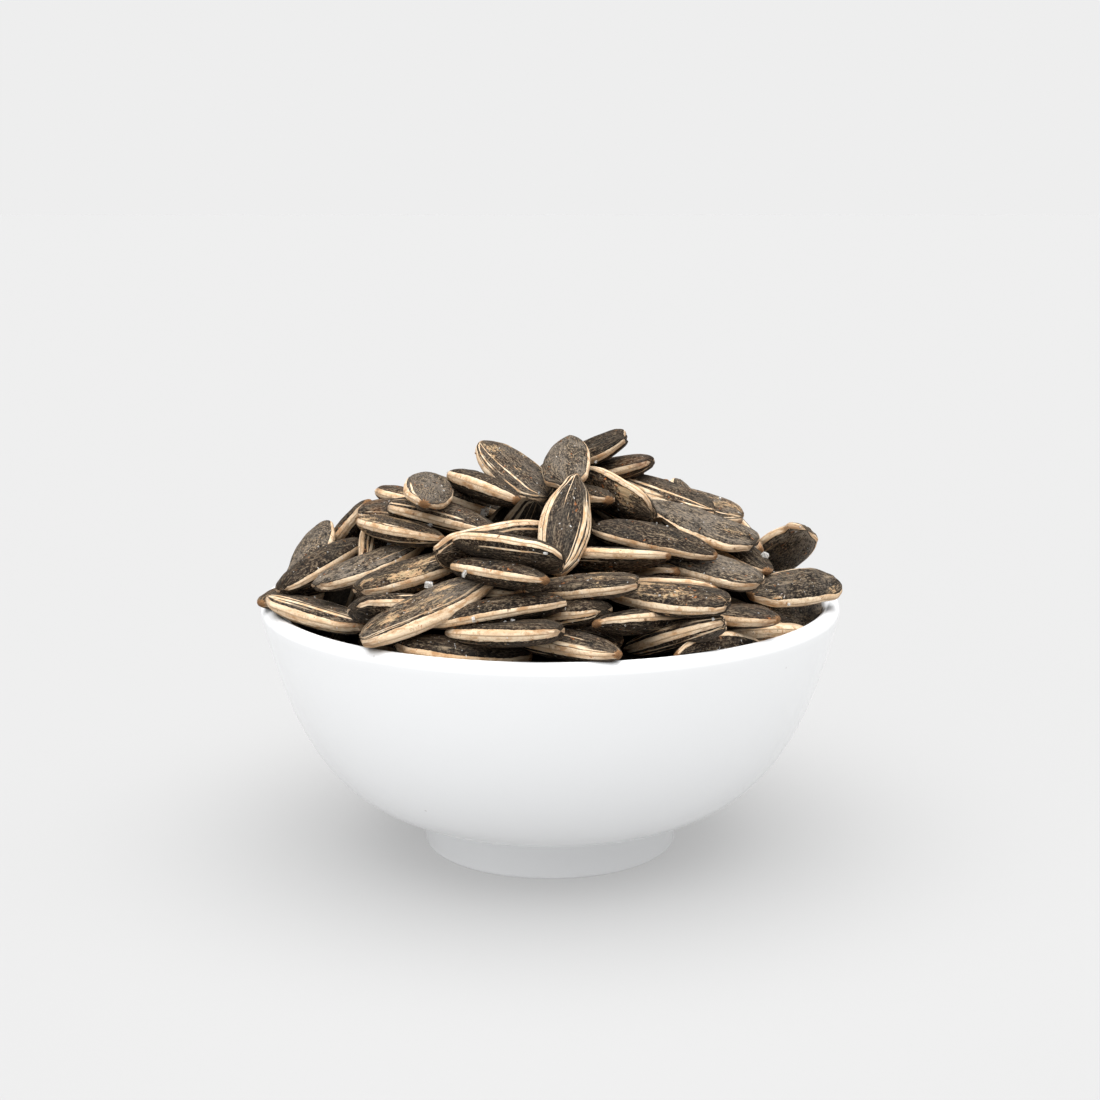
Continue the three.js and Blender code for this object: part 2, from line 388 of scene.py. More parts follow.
# Balls that stand for a seed while it is packed: rows across it, and one in its tip.
STATIONS = (-0.46, -0.36, -0.22, -0.06, 0.10, 0.26, 0.39)  # along the seed, from its middle, per length
BALL_LANES = (-1.0, 0.0, 1.0)
BALL_SHARE = 0.96  # of the seed's half-thickness
TIP_BALL_STATION = 0.465
TIP_BALL_SHARE = 0.17  # of the seed's thickness

# Half-width and half-thickness of a seed at places along it, from the blunt end, 0, to the tip, 1. The blunt
# end is cut off almost square, and the tip ends in a nub.
PLACES_ALONG = np.array([0.0, 0.025, 0.10, 0.26, 0.46, 0.68, 0.86, 0.955, 1.0])
BLUNT_WIDTHS = np.array([0.30, 0.53, 0.80, 0.95, 1.0, 0.91, 0.66, 0.35, 0.15])
POINTED_WIDTHS = np.array([0.17, 0.33, 0.63, 0.90, 1.0, 0.82, 0.48, 0.22, 0.11])
UNEVEN_WIDTHS = np.array([0.05, 0.07, 0.04, 0.02, 0.0, 0.025, 0.04, 0.04, 0.02])
DEPTHS = np.array([0.34, 0.52, 0.77, 0.95, 1.0, 0.92, 0.68, 0.42, 0.20])
MOST_POINTED = 0.30


def smooth_curve(share, values):
    """Runs smoothly through the values at PLACES_ALONG."""
    share = np.clip(share, 0, 1)
    slopes = np.gradient(values, PLACES_ALONG)
    i = np.clip(np.searchsorted(PLACES_ALONG, share, side="right") - 1, 0, len(PLACES_ALONG) - 2)
    gap = PLACES_ALONG[i + 1] - PLACES_ALONG[i]
    t = (share - PLACES_ALONG[i]) / gap
    start, end = values[i], values[i + 1]
    lift_off, landing = slopes[i] * gap, slopes[i + 1] * gap
    rise = t * t * (3 - 2 * t)
    return start + (end - start) * rise + t * (1 - t) ** 2 * lift_off - t * t * (1 - t) * landing


def widths(pointed):
    """Half-widths at PLACES_ALONG of a seed that is blunt, pointed or between."""
    share = min(1.0, pointed / MOST_POINTED)
    return (1 - share) * BLUNT_WIDTHS + share * POINTED_WIDTHS


def seed_balls(length, width, thickness):
    """Balls that fill a seed, for packing: places in its own axes, and radii."""
    places, radii = [], []
    for station in STATIONS:
        half_width = width / 2 * float(smooth_curve(station + 0.5, BLUNT_WIDTHS))
        radius = thickness / 2 * float(smooth_curve(station + 0.5, DEPTHS)) * BALL_SHARE
        for lane in BALL_LANES:
            places.append((station * length, lane * max(0.0, half_width - radius), 0.0))
            radii.append(radius)
    places.append((TIP_BALL_STATION * length, 0.0, 0.0))
    radii.append(TIP_BALL_SHARE * thickness)
    return np.array(places), np.array(radii)


def bezier(start, bend_1, bend_2, end, count):
    t = np.linspace(0, 1, count)[:, None]
    start, bend_1, bend_2, end = (np.array(p, float) for p in (start, bend_1, bend_2, end))
    return (1 - t) ** 3 * start + 3 * (1 - t) ** 2 * t * bend_1 + 3 * (1 - t) * t**2 * bend_2 + t**3 * end


def arc(centre, radius, from_degrees, to_degrees, count):
    angle = np.radians(np.linspace(from_degrees, to_degrees, count))
    return np.array(centre) + radius * np.stack([np.cos(angle), np.sin(angle)], axis=1)


# ---- The bowl's section ----


class BowlShape:
    """The bowl's section, in millimetres, worked out from the rim, the height and the foot."""

    def __init__(self, sizes):
        rim, high = RIM_MM, BOWL_HEIGHT_MM
        wall, foot = sizes.wall / MM, sizes.foot_radius / MM
        self.lip_centre = (rim - wall / 2, high - wall / 2)
        self.lip_radius = wall / 2
        floor = sizes.floor_height / MM
        foot_high, recess = sizes.foot_height / MM, sizes.foot_recess / MM
        ring, edge, flare = sizes.foot_ring / MM, 0.6, 0.5
        lip_z = self.lip_centre[1]
        # the lip is round inside and falls off more slowly outside, where it runs into the belly
        lip_in = arc(self.lip_centre, self.lip_radius, 180, 95, 9)
        lip_out = (rim - 1.45, high - 1.6) + (1.45, 1.6) * arc((0, 0), 1.0, 90, -12, 14)
        lip = np.concatenate([lip_in, lip_out])
        lip_end = tuple(lip_out[-1])
        self.outside = bezier(
            lip_end, (rim - 4.6, high * 0.51), (rim - 10.7, high * 0.21), (foot + flare, foot_high), 48
        )
        self.inside = bezier((0, floor), (rim - 18, floor), (rim - 8.4, high * 0.5), (rim - wall, lip_z), 48)
        inner = foot - ring
        # A small round of glaze fills the corner between belly and foot, and both edges of the ring.
        crease = arc((foot + flare + 0.75, foot_high - 0.75), 0.75, 120, 180, 6)
        foot_wall = np.linspace((foot + flare * 0.9, foot_high - 1.2), (foot, edge + 0.1), 8)
        outer_edge = arc((foot - edge, edge), edge, 0, -90, 6)
        inner_edge = arc((inner + edge, edge), edge, -90, -180, 6)
        hollow = [(inner - 0.4, recess - 0.8), (inner - 1.2, recess - 0.1), (inner - 3, recess), (0, recess)]
        belly = self.outside[1 : np.argmax(self.outside[:, 0] < foot + flare + 0.6)]
        self.profile = np.concatenate(
            [self.inside[:-1], lip, belly, crease, foot_wall, outer_edge, inner_edge, hollow]
        )

    def inside_radius(self, z):
        """How far the inside of the wall is from the axis, in millimetres."""
        return np.interp(z, self.inside[:, 1], self.inside[:, 0])


# ---- Packing ----


def nearest_turn(matrices):
    """The rotation nearest to each matrix."""
    u, _, vt = np.linalg.svd(matrices)
    u[:, :, 2] *= np.sign(np.linalg.det(u @ vt))[:, None]
    return u @ vt


class Packing:
    """Seeds as rigid groups of balls, moved until none overlap and each rests where it should."""

    SEEN_WEIGHT = 6.0  # how much harder a seen seed is to push than another
    NEAR_MM = 1.6  # gap at which two balls are still looked at
    OVERSHOOT = 1.3  # share of an overlap that is undone at once
    PLACE_HOLD = 0.50  # how firmly a seen seed keeps its place in the picture
    SINK_HOLD = 0.015  # how firmly a seed keeps the place that the picture doesn't settle
    SINK_MM = 0.05  # how far an unseen seed drops in each round
    TURN_HOLD = 0.30  # how firmly a seen seed keeps its turn
    LOOSER = (0.8, 0.5)  # share of the hold on place and on turn that is gone after the last round

    def __init__(self, bowl, seeds):
        self.bowl = bowl
        shapes = [seed_balls(s.length, s.width, s.thickness) for s in seeds]
        self.local = np.stack([p for p, _ in shapes])
        self.radius = np.stack([r for _, r in shapes])
        self.centre = np.stack([s.centre for s in seeds])
        self.turn = np.stack([s.turn for s in seeds])
        self.balls = self.placed()
        self.target = self.balls.copy()
        self.seen = np.array([s.seen for s in seeds])
        self.weight = np.where(self.seen, self.SEEN_WEIGHT, 1.0)
        self.wanted_turn = self.turn.copy()
        self.sight = unit(self.centre - CAMERA_MM)

    def placed(self):
        """Where the balls are when every seed has its own shape."""
        return self.centre[:, None, :] + np.einsum("nij,nkj->nki", self.turn, self.local)

    def pairs(self):
        """Balls of different seeds that may meet."""
        away = np.linalg.norm(self.centre[:, None] - self.centre[None], axis=2)
        first, second = np.nonzero(np.triu(away < SEED_LENGTH_MM * 1.05, 1))
        count = self.local.shape[1]
        a, b = np.meshgrid(np.arange(count), np.arange(count), indexing="ij")
        a, b = a.ravel(), b.ravel()
        i, j = np.repeat(first, a.size), np.repeat(second, a.size)
        k, m = np.tile(a, first.size), np.tile(b, first.size)
        reach = self.radius[i, k] + self.radius[j, m] + self.NEAR_MM
        close = np.linalg.norm(self.balls[i, k] - self.balls[j, m], axis=1) < reach
        return i[close], k[close], j[close], m[close]

    def push_apart(self, pairs):
        i, k, j, m = pairs
        between = self.balls[i, k] - self.balls[j, m]
        distance = np.linalg.norm(between, axis=1)
        overlap = self.radius[i, k] + self.radius[j, m] - distance
        touching = overlap > 0
        i, k, j, m = i[touching], k[touching], j[touching], m[touching]
        way = between[touching] / np.maximum(distance[touching], 1e-6)[:, None]
        mass_i, mass_j = self.weight[i], self.weight[j]
        move = way * overlap[touching][:, None] * 0.5
        step = np.zeros_like(self.balls)
        hits = np.zeros(self.balls.shape[:2])
        np.add.at(step, (i, k), move * (2 * mass_j / (mass_i + mass_j))[:, None])
        np.add.at(step, (j, m), -move * (2 * mass_i / (mass_i + mass_j))[:, None])
        np.add.at(hits, (i, k), 1)
        np.add.at(hits, (j, m), 1)
        self.balls += step / np.maximum(1, hits)[..., None] * self.OVERSHOOT
        return float(overlap.max(initial=0))

    def keep_in_bowl(self):
        x, y, z = np.moveaxis(self.balls, -1, 0)
        rho = np.maximum(np.hypot(x, y), 1e-6)
        lip_rho, lip_z = self.bowl.lip_centre
        # below the lip the wall holds the seeds in
        limit = self.bowl.inside_radius(z) - self.radius * 1.12
        over = np.where(z < lip_z, np.maximum(0, rho - limit), 0)
        x -= x / rho * over
        y -= y / rho * over
        # seeds that lie across the rim rest on its round lip
        rho = np.maximum(np.hypot(x, y), 1e-6)
        out, rise = rho - lip_rho, z - lip_z
        gap = np.maximum(np.hypot(out, rise), 1e-6)
        push = np.where(z >= lip_z, np.maximum(0, self.bowl.lip_radius + 0.1 + self.radius - gap), 0)
        x += x / rho * out / gap * push
        y += y / rho * out / gap * push
        z += rise / gap * push
        # nothing reaches out past the rim
        rho = np.maximum(np.hypot(x, y), 1e-6)
        past = np.maximum(0, rho + self.radius - RIM_MM - 0.2)
        x -= x / rho * past
        y -= y / rho * past
        self.balls = np.stack([x, y, z], axis=-1)

    def keep_on_core(self):
        x, y, z = np.moveaxis(self.balls, -1, 0)
        low = dome_height(x, y) - CORE_DEPTH_MM + self.radius * 1.1
        self.balls[..., 2] = np.maximum(z, low)

    def pull(self, share):
        """Seen seeds keep to their place in the picture, and the others sink onto what is below them."""
        gap = self.target - self.balls
        deep = np.einsum("nki,ni->nk", gap, self.sight)[..., None] * self.sight[:, None]
        held = (gap - deep) * self.PLACE_HOLD + deep * self.SINK_HOLD
        self.balls += np.where(self.seen[:, None, None], held * share, gap * self.SINK_HOLD * share)
        self.balls[~self.seen, :, 2] -= self.SINK_MM * share

    def stiffen(self, hold):
        """Each group of balls goes back to its seed's shape, in the place and turn that fit best."""
        local = self.local - self.local.mean(axis=1, keepdims=True)
        world = self.balls - self.balls.mean(axis=1, keepdims=True)
        found = nearest_turn(np.einsum("nki,nkj->nij", world, local))
        kept = np.where(self.seen, hold, 0.0)[:, None, None]
        self.turn = nearest_turn(found + kept * self.wanted_turn)
        middle = np.einsum("nij,nj->ni", self.turn, self.local.mean(axis=1))
        self.centre = self.balls.mean(axis=1) - middle
        self.balls = self.placed()

    def settle(self, rounds):
        """Packs the seeds, and gives the deepest overlap that is left, in millimetres."""
        worst = 0.0
        for step in range(rounds):
            if step % 8 == 0:
                pairs = self.pairs()
            self.pull(1 - self.LOOSER[0] * step / rounds)
            for _ in range(2):
                worst = self.push_apart(pairs)
                self.keep_in_bowl()
                self.keep_on_core()
            self.stiffen(self.TURN_HOLD * (1 - self.LOOSER[1] * step / rounds))
        return worst


class PlacedSeed:
    """One seed: its size, its place and turn in millimetres, and how it is marked."""

    def __init__(self, rng, look, centre, turn, size=1.0, pointed=None, seen=False, deep=False):
        self.length = SEED_LENGTH_MM * size * (1 + 0.05 * rng.normal() * (not seen))
        self.width = SEED_WIDTH_MM * size * (1 + 0.06 * np.clip(rng.normal(), -1.5, 1.5))
        self.thickness = SEED_THICKNESS_MM * (1 + 0.08 * np.clip(rng.normal(), -1.5, 1.5))
        self.look = look
        self.centre = centre
        self.turn = turn
        self.seen = seen
        self.deep = deep
        self.number = rng.random()
        self.wander = rng.normal(size=8)
        some = rng.random()
        self.pointed = 0.22 * some if pointed is None else pointed
        # the wider side of the cream edge is the one that shows
        self.wide_edge = -np.sign(np.dot(turn[:, 1], centre - CAMERA_MM)) if seen else np.sign(some - 0.5)


def lying_frame(rng, x, y, heading, rough):
    """Axes of a seed that lies on the dome at a place, unevenly."""
    slope_x = dome_height(x + 0.5, y) - dome_height(x - 0.5, y)
    slope_y = dome_height(x, y + 0.5) - dome_height(x, y - 0.5)
    normal = unit(np.array([-slope_x, -slope_y, 1.0]) + rough * rng.normal(size=3))
    ahead = np.array([math.cos(heading), math.sin(heading), 0.0])
    along = unit(ahead - np.dot(ahead, normal) * normal + 0.4 * rough * rng.normal() * normal)
    across = unit(np.cross(normal, along))
    return np.stack([along, across, np.cross(along, across)], axis=1)


def heap_seeds(sizes):
    """Every seed of the heap: those that show in the photograph, those round the back, and those below."""
    rng = np.random.default_rng(sizes.scatter)
    seeds = []
    for seen in SEEN:
        centre, turn = seen_seed_frame(seen, SEED_LENGTH_MM * seen.size)
        seeds.append(PlacedSeed(rng, LOOKS[seen.look], centre, turn, seen.size, seen.pointed, seen=True))
    shown = np.stack([s.centre for s in seeds])
    kinds = ["coal", "edged", "lined", "worn", "ashy", "brown", "broad", "grey", "dusty", "rimmed", "coal"]
    golden = math.pi * (3 - math.sqrt(5))
    layers = ((0, sizes.surface_count, SURFACE_REACH_MM), (1, sizes.lower_count, LOWER_REACH_MM))
    for layer, count, reach in layers:
        for i in range(count):
            radius = reach * math.sqrt((i + 0.5) / count)
            around = i * golden + layer
            x, y = radius * math.cos(around), radius * math.sin(around)
            z = float(dome_height(x, y)) - layer * LAYER_MM - 0.6 * rng.random()
            if layer == 0:
                hidden = y > HIDDEN_FROM_MM or (abs(x) > HIDDEN_SIDE_MM and y > 0)
                if not hidden or np.linalg.norm(shown - (x, y, z), axis=1).min() < CLEAR_OF_SEEN_MM:
                    continue
                # lower where it would stand up behind the crown
                z -= 5.0 * (1 - smooth_step(18, 36, y)) + 3.0 * smooth_step(16, 26, abs(x))
            place = np.array([x, y, z])
            # near the rim a seed turns to lie along it
            rim_share = (radius / reach) ** 4
            heading = around + math.pi / 2 + (1 - 0.8 * rim_share) * rng.uniform(-math.pi, math.pi)
            turn = lying_frame(rng, x, y, heading, 0.30 if layer == 0 else 0.22)
            look = LOOKS[kinds[rng.integers(len(kinds))]]
            size = 1 + 0.05 * np.clip(rng.normal(), -2, 1.5)
            seeds.append(PlacedSeed(rng, look, place, turn, size, deep=layer > 0))
    return seeds


# ---- Seed meshes ----


def ripples(rng, x, y, wavelength, lengthwise):
    """Low waves that run at random over a seed, drawn out along it."""
    total = np.zeros_like(x)
    for _ in range(5):
        heading = rng.uniform(0, 2 * np.pi)
        wave = 2 * np.pi / (wavelength * rng.uniform(0.7, 1.5))
        total += np.sin(wave * (x * np.cos(heading) / lengthwise + y * np.sin(heading)) + rng.uniform(0, 6.3))
    return total / 5


def seed_mesh(seed, rings, spokes):
    """Vertices of one seed, with the numbers that its hull's pattern is drawn from."""
    wander = seed.wander
    rng = np.random.default_rng(int(seed.number * 1e6))
    even = np.linspace(0, 1, rings + 1)
    share = 0.35 * even + 0.65 * (0.5 - 0.5 * np.cos(np.pi * even))
    angle = 2 * np.pi * np.arange(spokes) / spokes
    angle = angle - 0.17 * np.sin(2 * angle)  # closer together at the two edges
    u, v = np.meshgrid(share, angle, indexing="ij")
    side = np.sign(np.cos(v)) * np.abs(np.cos(v)) ** 0.92
    # two arched faces that meet in a blunt edge, some flatter and some nearly ridged
    edge_share = SEED_EDGE_MM / seed.thickness
    power = 2.4 + 0.6 * np.clip(wander[3], -1.3, 1.3)
    arch = (1 - edge_share) * (1 - np.abs(side) ** power) + edge_share * np.sqrt(np.clip(1 - side**10, 0, 1))
    face = np.sign(np.round(np.sin(v), 9)) * arch
    # each of the two sides has an outline of its own
    outline = widths(seed.pointed)
    one_side = smooth_curve(u, outline + UNEVEN_WIDTHS * np.clip(rng.normal(size=9), -1.5, 1.5))
    other_side = smooth_curve(u, outline + UNEVEN_WIDTHS * np.clip(rng.normal(size=9), -1.5, 1.5))
    y = seed.width / 2 * side * np.where(side > 0, one_side, other_side)
    half_depth = seed.thickness / 2 * smooth_curve(u, DEPTHS)
    # the blunt end is cut off askew, and frayed
    at_blunt_end = 1 - smooth_step(0.0, 0.11, u)
    askew = 0.70 * np.tanh(wander[0]) * side + 0.30 * ripples(rng, y, y * 0 + 2.0 * side, 1.2, 1.0)
    x = (u - 0.5) * seed.length + askew * at_blunt_end
    # the faces are shallow arches with a faint ridge down the middle, and one of them is often dished
    ridge_lane = 0.14 * wander[2]
    ridge = 0.06 * np.exp(-(((side - ridge_lane) / 0.20) ** 2))
    hollow = np.exp(-(((side + ridge_lane) / 0.45) ** 2) - ((u - 0.42) / 0.28) ** 2)
    dish = 0.30 * np.clip(wander[4], 0, 1.4) * hollow
    furrow_lane = np.clip(0.45 * rng.normal(), -0.6, 0.6) + 0.12 * np.sin(2.5 * u + wander[5])
    furrow = 0.09 * rng.random() * np.exp(-(((side - furrow_lane) / 0.10) ** 2))
    z = half_depth * (face * (1 + ridge) - np.where(face > 0, dish + furrow, furrow) * np.abs(face))
    # how far each point lies from the nearer edge, measured over the hull
    steps = np.hypot(np.roll(y, -1, axis=1) - y, np.roll(z, -1, axis=1) - z)
    run = np.concatenate([np.zeros((rings + 1, 1)), np.cumsum(steps, axis=1)], axis=1)
    girth_mm, run = run[:, -1:], run[:, :-1]
    far_edge = run[:, spokes // 2][:, None]
    from_edge = np.minimum(np.minimum(run, girth_mm - run), np.abs(run - far_edge))
    # a groove where the thick edge meets the face
    middle = smooth_step(0.05, 0.16, u) * (1 - smooth_step(0.84, 0.95, u))
    z = z * (1 - 0.13 * np.exp(-(((from_edge - 1.0) / 0.30) ** 2)) * middle)
    # dents and wrinkles, then the whole seed bent and twisted a little
    bulk = half_depth / (seed.thickness / 2)
    swell = 0.12 * ripples(rng, x, y, 4.5, 1.6) + 0.05 * ripples(rng, x, y, 1.3, 2.6)
    z = z + swell * bulk * np.abs(face) * np.where(face > 0, 1, 0.8)
    y = y * (1 + 0.012 * ripples(rng, x, z, 2.6, 1.0) * middle)
    long_share = 2 * u - 1
    y = y + 0.42 * np.clip(wander[5], -1.5, 1.5) * (long_share**2 - 0.4)
    z = z + 0.32 * np.clip(wander[6], -1.5, 1.5) * (long_share**2 - 0.4)
    twist = 0.09 * wander[7] * long_share
    y, z = y * np.cos(twist) - z * np.sin(twist), y * np.sin(twist) + z * np.cos(twist)
    # the cream band reaches further on one edge and one face than on the others, and thins at both ends
    by_edge = 0.20 * seed.wide_edge * np.sign(side)
    by_face = 0.25 * np.tanh(wander[1]) * np.sign(face)
    reach = seed.look.band_mm * (1 + by_edge + by_face)
    reach = reach * (0.50 + 0.50 * np.sin(np.pi * np.clip(u, 0.02, 0.98)) ** 0.6)
    numbers = {
        "band": reach - from_edge,
        "seam": from_edge * np.sign(np.round(face, 6)),
        "lane": seed.width / 2 * side + np.where(face >= 0, 0.0, 30.0),
        "outward": np.abs(side),
        "along": u * seed.length,
        "tip": (1 - u) * seed.length,
    }
    points = np.stack([x, y, z], axis=-1)
    # each end closes in a single point
    blunt_end, tip = points[0].mean(axis=0), points[-1].mean(axis=0)
    vertices = np.concatenate([[blunt_end], points[1:-1].reshape(-1, 3), [tip]])
    flat = {
        key: np.concatenate([[value[0].mean()], value[1:-1].ravel(), [value[-1].mean()]])
        for key, value in numbers.items()
    }
    return vertices, flat


def seeds_piece(name, seeds, rings, spokes):
    """All seeds of one kind as one mesh, each in a square of its own in the piece's texture."""
    faces, corners = closed_shell(rings, spokes)
    faces = [inside_out(face) for face in faces]
    places = np.array([corner for face in corners for corner in inside_out(face)]) / (rings, spokes)
    cells = math.ceil(math.sqrt(len(seeds)))
    vertices, all_faces, uvs, numbers = [], [], [], {}
    start = 0
    for i, seed in enumerate(seeds):
        points, flat = seed_mesh(seed, rings, spokes)
        vertices.append((points @ seed.turn.T + seed.centre) * MM)
        all_faces += [tuple(start + vertex for vertex in face) for face in faces]
        uvs.append((np.array([i % cells, i // cells]) + 0.02 + 0.96 * places) / cells)
        for key in ("stripes", "scuffs", "brown", "ash"):
            flat[key] = np.full(len(points), getattr(seed.look, key))
        flat["number"] = np.full(len(points), seed.number)
        for key, value in flat.items():
            numbers.setdefault(key, []).append(value)
        start += len(points)
    piece = new_mesh_object(name, np.concatenate(vertices), all_faces, np.concatenate(uvs))
    for key, values in numbers.items():
        attribute = piece.data.attributes.new(key, "FLOAT", "POINT")
        attribute.data.foreach_set("value", np.concatenate(values).astype(np.float32))
    return piece


# ---- Materials ----


def bare_material(name):
    """A new material, and its empty node tree."""
    material = bpy.data.materials.new(name)
    material.use_nodes = True
    material.node_tree.nodes.clear()
    return material, material.node_tree


def glazed_porcelain(colours):
    """White porcelain under a clear fired glaze: a smooth gloss over a soft white, with a few kiln specks."""
    material, tree = bare_material("clear_glazed_white_porcelain")
    place = node(tree, "TexCoord", {}, "Object")
    # iron specks in the clay, 0.3 mm across and centimetres apart
    spacing = {"Vector": place, "Scale": 1 / 0.011, "Randomness": 1.0}
    cells = node(tree, "TexVoronoi", spacing, "Distance", feature="F1")
    speck = node(tree, "MapRange", {0: cells, 1: 0.012, 2: 0.026, 3: 0.30, 4: 0.0}, **SMOOTH)
    colour = node(tree, "Mix", {0: speck, 6: linear(colours.glaze), 7: linear(colours.kiln_speck)}, **COLOURS)
    # the glaze pools in a skin of low waves 6 mm across
    waves = node(tree, "TexNoise", {"Vector": place, "Scale": 1 / 0.006, "Detail": 2.0, "Roughness": 0.4})
    bump = node(tree, "Bump", {"Height": waves, "Strength": 0.05, "Distance": 0.0006})
    surface = {"Base Color": colour, "Roughness": 0.16, "IOR": 1.5, "Normal": bump}
    node(tree, "OutputMaterial", {"Surface": node(tree, "BsdfPrincipled", surface)})
    return material


class Hull:
    """What all markings of a hull are drawn with: each seed's own numbers, and the grain of its fibres.

    The pattern is drawn in each seed's own millimetres: along runs from the blunt end, lane from one edge
    to the other, and band is how far inside the cream edge a point lies. The velvety flecks of the skin,
    0.1 mm in truth, are drawn three times as coarse, or they would not show.
    """

    PLACES = ("band", "seam", "lane", "outward", "along", "tip")
    MARKS = ("number", "stripes", "scuffs", "brown", "ash")

    def __init__(self, tree, colours):
        self.tree = tree
        self.colours = colours
        for key in self.PLACES + self.MARKS:
            setattr(self, key, node(tree, "Attribute", {}, "Fac", attribute_name=key))
        apart = node(tree, "Math", {0: self.number, 1: 613.0}, operation="MULTIPLY")
        self.place = node(tree, "CombineXYZ", {"X": self.along, "Y": self.lane, "Z": apart})
        self.fibres = self.grain(5.0, 0.50, 3.0, 0.6)
        self.flecks = self.grain(0.56, 0.25, 3.0, 0.7)
        self.streaks = self.grain(9.0, 0.85)
        self.blotches = self.grain(4.5, 3.0, 3.0, 0.6)

    def grain(self, along_mm, across_mm, detail=2.0, rough=0.5):
        """Noise whose grains are so many millimetres long and wide, about 0.5 on average."""
        scale = (1 / along_mm, 1 / across_mm, 1.0)
        place = node(self.tree, "VectorMath", {0: self.place, 1: scale}, operation="MULTIPLY")
        settings = {"Vector": place, "Scale": 1.0, "Detail": detail, "Roughness": rough}
        return node(self.tree, "TexNoise", settings)

    def coat(self, under, pattern, none, full, most, colour):
        """Lays a colour over others: nothing where the pattern is at none, and the most of it at full."""
        share = node(self.tree, "MapRange", {0: pattern, 1: none, 2: full, 3: 0.0, 4: most}, **SMOOTH)
        return node(self.tree, "Mix", {0: share, 6: under, 7: linear(colour)}, **COLOURS)


def face_stripes(hull):
    """Cream stripes that run the whole length of a face, and how much of a point they cover."""
    tree = hull.tree
    # they lie in the outer thirds of the face, and how many there are is the seed's own
    level = node(tree, "Math", {0: hull.stripes, 1: -0.30, 2: 0.73}, operation="MULTIPLY_ADD")
    centre = node(tree, "MapRange", {0: hull.outward, 1: 0.70, 2: 0.25, 3: 0.0, 4: 0.13}, **SMOOTH)
    level = node(tree, "Math", {0: level, 1: centre}, operation="ADD")
    stripes = hull.grain(34.0, 0.66, 1.0)
    ragged = node(tree, "Math", {0: hull.fibres, 1: 0.16, 2: stripes}, operation="MULTIPLY_ADD")
    above = node(tree, "Math", {0: ragged, 1: level}, operation="SUBTRACT")
    stripe = node(tree, "MapRange", {0: above, 1: 0.065, 2: 0.10}, **SMOOTH)
    # one more runs close beside the cream edge on the striped seeds
    beside = node(tree, "Math", {0: hull.streaks, 1: 0.5, 2: hull.band}, operation="MULTIPLY_ADD")
    beside = node(tree, "Math", {0: beside, 1: 0.32}, operation="ADD")
    beside = node(tree, "Math", {0: beside}, operation="ABSOLUTE")
    beside = node(tree, "MapRange", {0: beside, 1: 0.16, 2: 0.09}, **SMOOTH)
    striped = node(tree, "MapRange", {0: hull.stripes, 1: 0.28, 2: 0.45}, **SMOOTH)
    broken = node(tree, "MapRange", {0: hull.grain(14.0, 40.0), 1: 0.40, 2: 0.48}, **SMOOTH)
    beside = node(tree, "Math", {0: beside, 1: striped}, operation="MULTIPLY")
    beside = node(tree, "Math", {0: beside, 1: broken}, operation="MULTIPLY")
    return node(tree, "Math", {0: stripe, 1: beside}, operation="MAXIMUM")


def worn_off(hull):
    """Where the dark skin has rubbed off, in flecks drawn out along the grain."""
    tree = hull.tree
    worn = node(tree, "Math", {0: hull.scuffs, 1: 0.30, 2: hull.grain(6.5, 2.4)}, operation="MULTIPLY_ADD")
    flakes = hull.grain(0.80, 0.30, 4.0, 0.75)
    torn = node(tree, "Math", {0: flakes, 1: 1.0, 2: worn}, operation="MULTIPLY_ADD")
    return node(tree, "MapRange", {0: torn, 1: 1.28, 2: 1.38, 3: 0.0, 4: 0.85}, **SMOOTH)


def dark_skin(hull):
    """Charcoal skin with toasted patches, a grey bloom that is partly painted sheen, pale velvety flecks and
    dark pits.
    """
    tree, colours, blotches = hull.tree, hull.colours, hull.blotches
    skin = hull.coat(linear(colours.charcoal), hull.streaks, 0.35, 0.68, 1.0, colours.charcoal_warm)
    toast = node(tree, "MapRange", {0: blotches, 1: 0.34, 2: 0.62}, **SMOOTH)
    toast = node(tree, "Math", {0: hull.brown, 1: toast}, operation="MULTIPLY")
    skin = node(tree, "Mix", {0: toast, 6: skin, 7: linear(colours.toasted)}, **COLOURS)
    # grey bloom, partly ash and partly painted sheen, as much as the seed's own share of it
    bloom = node(tree, "MapRange", {0: blotches, 1: 0.66, 2: 0.38, 3: 0.15, 4: 0.85}, **SMOOTH)
    bloom = node(tree, "Math", {0: hull.ash, 1: bloom}, operation="MULTIPLY")
    skin = node(tree, "Mix", {0: bloom, 6: skin, 7: linear(colours.ash)}, **COLOURS)
    skin = hull.coat(skin, hull.grain(3.2, 1.6), 0.50, 0.66, 0.6, colours.pit_and_shade)
    skin = hull.coat(skin, hull.fibres, 0.54, 0.74, 0.55, colours.fibre)
    velvet = node(tree, "MapRange", {0: hull.flecks, 1: 0.51, 2: 0.63}, **SMOOTH)
    thick = node(tree, "MapRange", {0: blotches, 1: 0.36, 2: 0.60, 3: 0.35, 4: 0.90}, **SMOOTH)
    bare = node(tree, "Math", {0: hull.ash, 1: 0.42, 2: 0.48}, operation="MULTIPLY_ADD")
    thick = node(tree, "Math", {0: thick, 1: bare}, operation="MULTIPLY")
    velvet = node(tree, "Math", {0: velvet, 1: thick}, operation="MULTIPLY")
    skin = node(tree, "Mix", {0: velvet, 6: skin, 7: linear(colours.fibre)}, **COLOURS)
    return hull.coat(skin, hull.flecks, 0.48, 0.38, 0.85, colours.pit_and_shade)


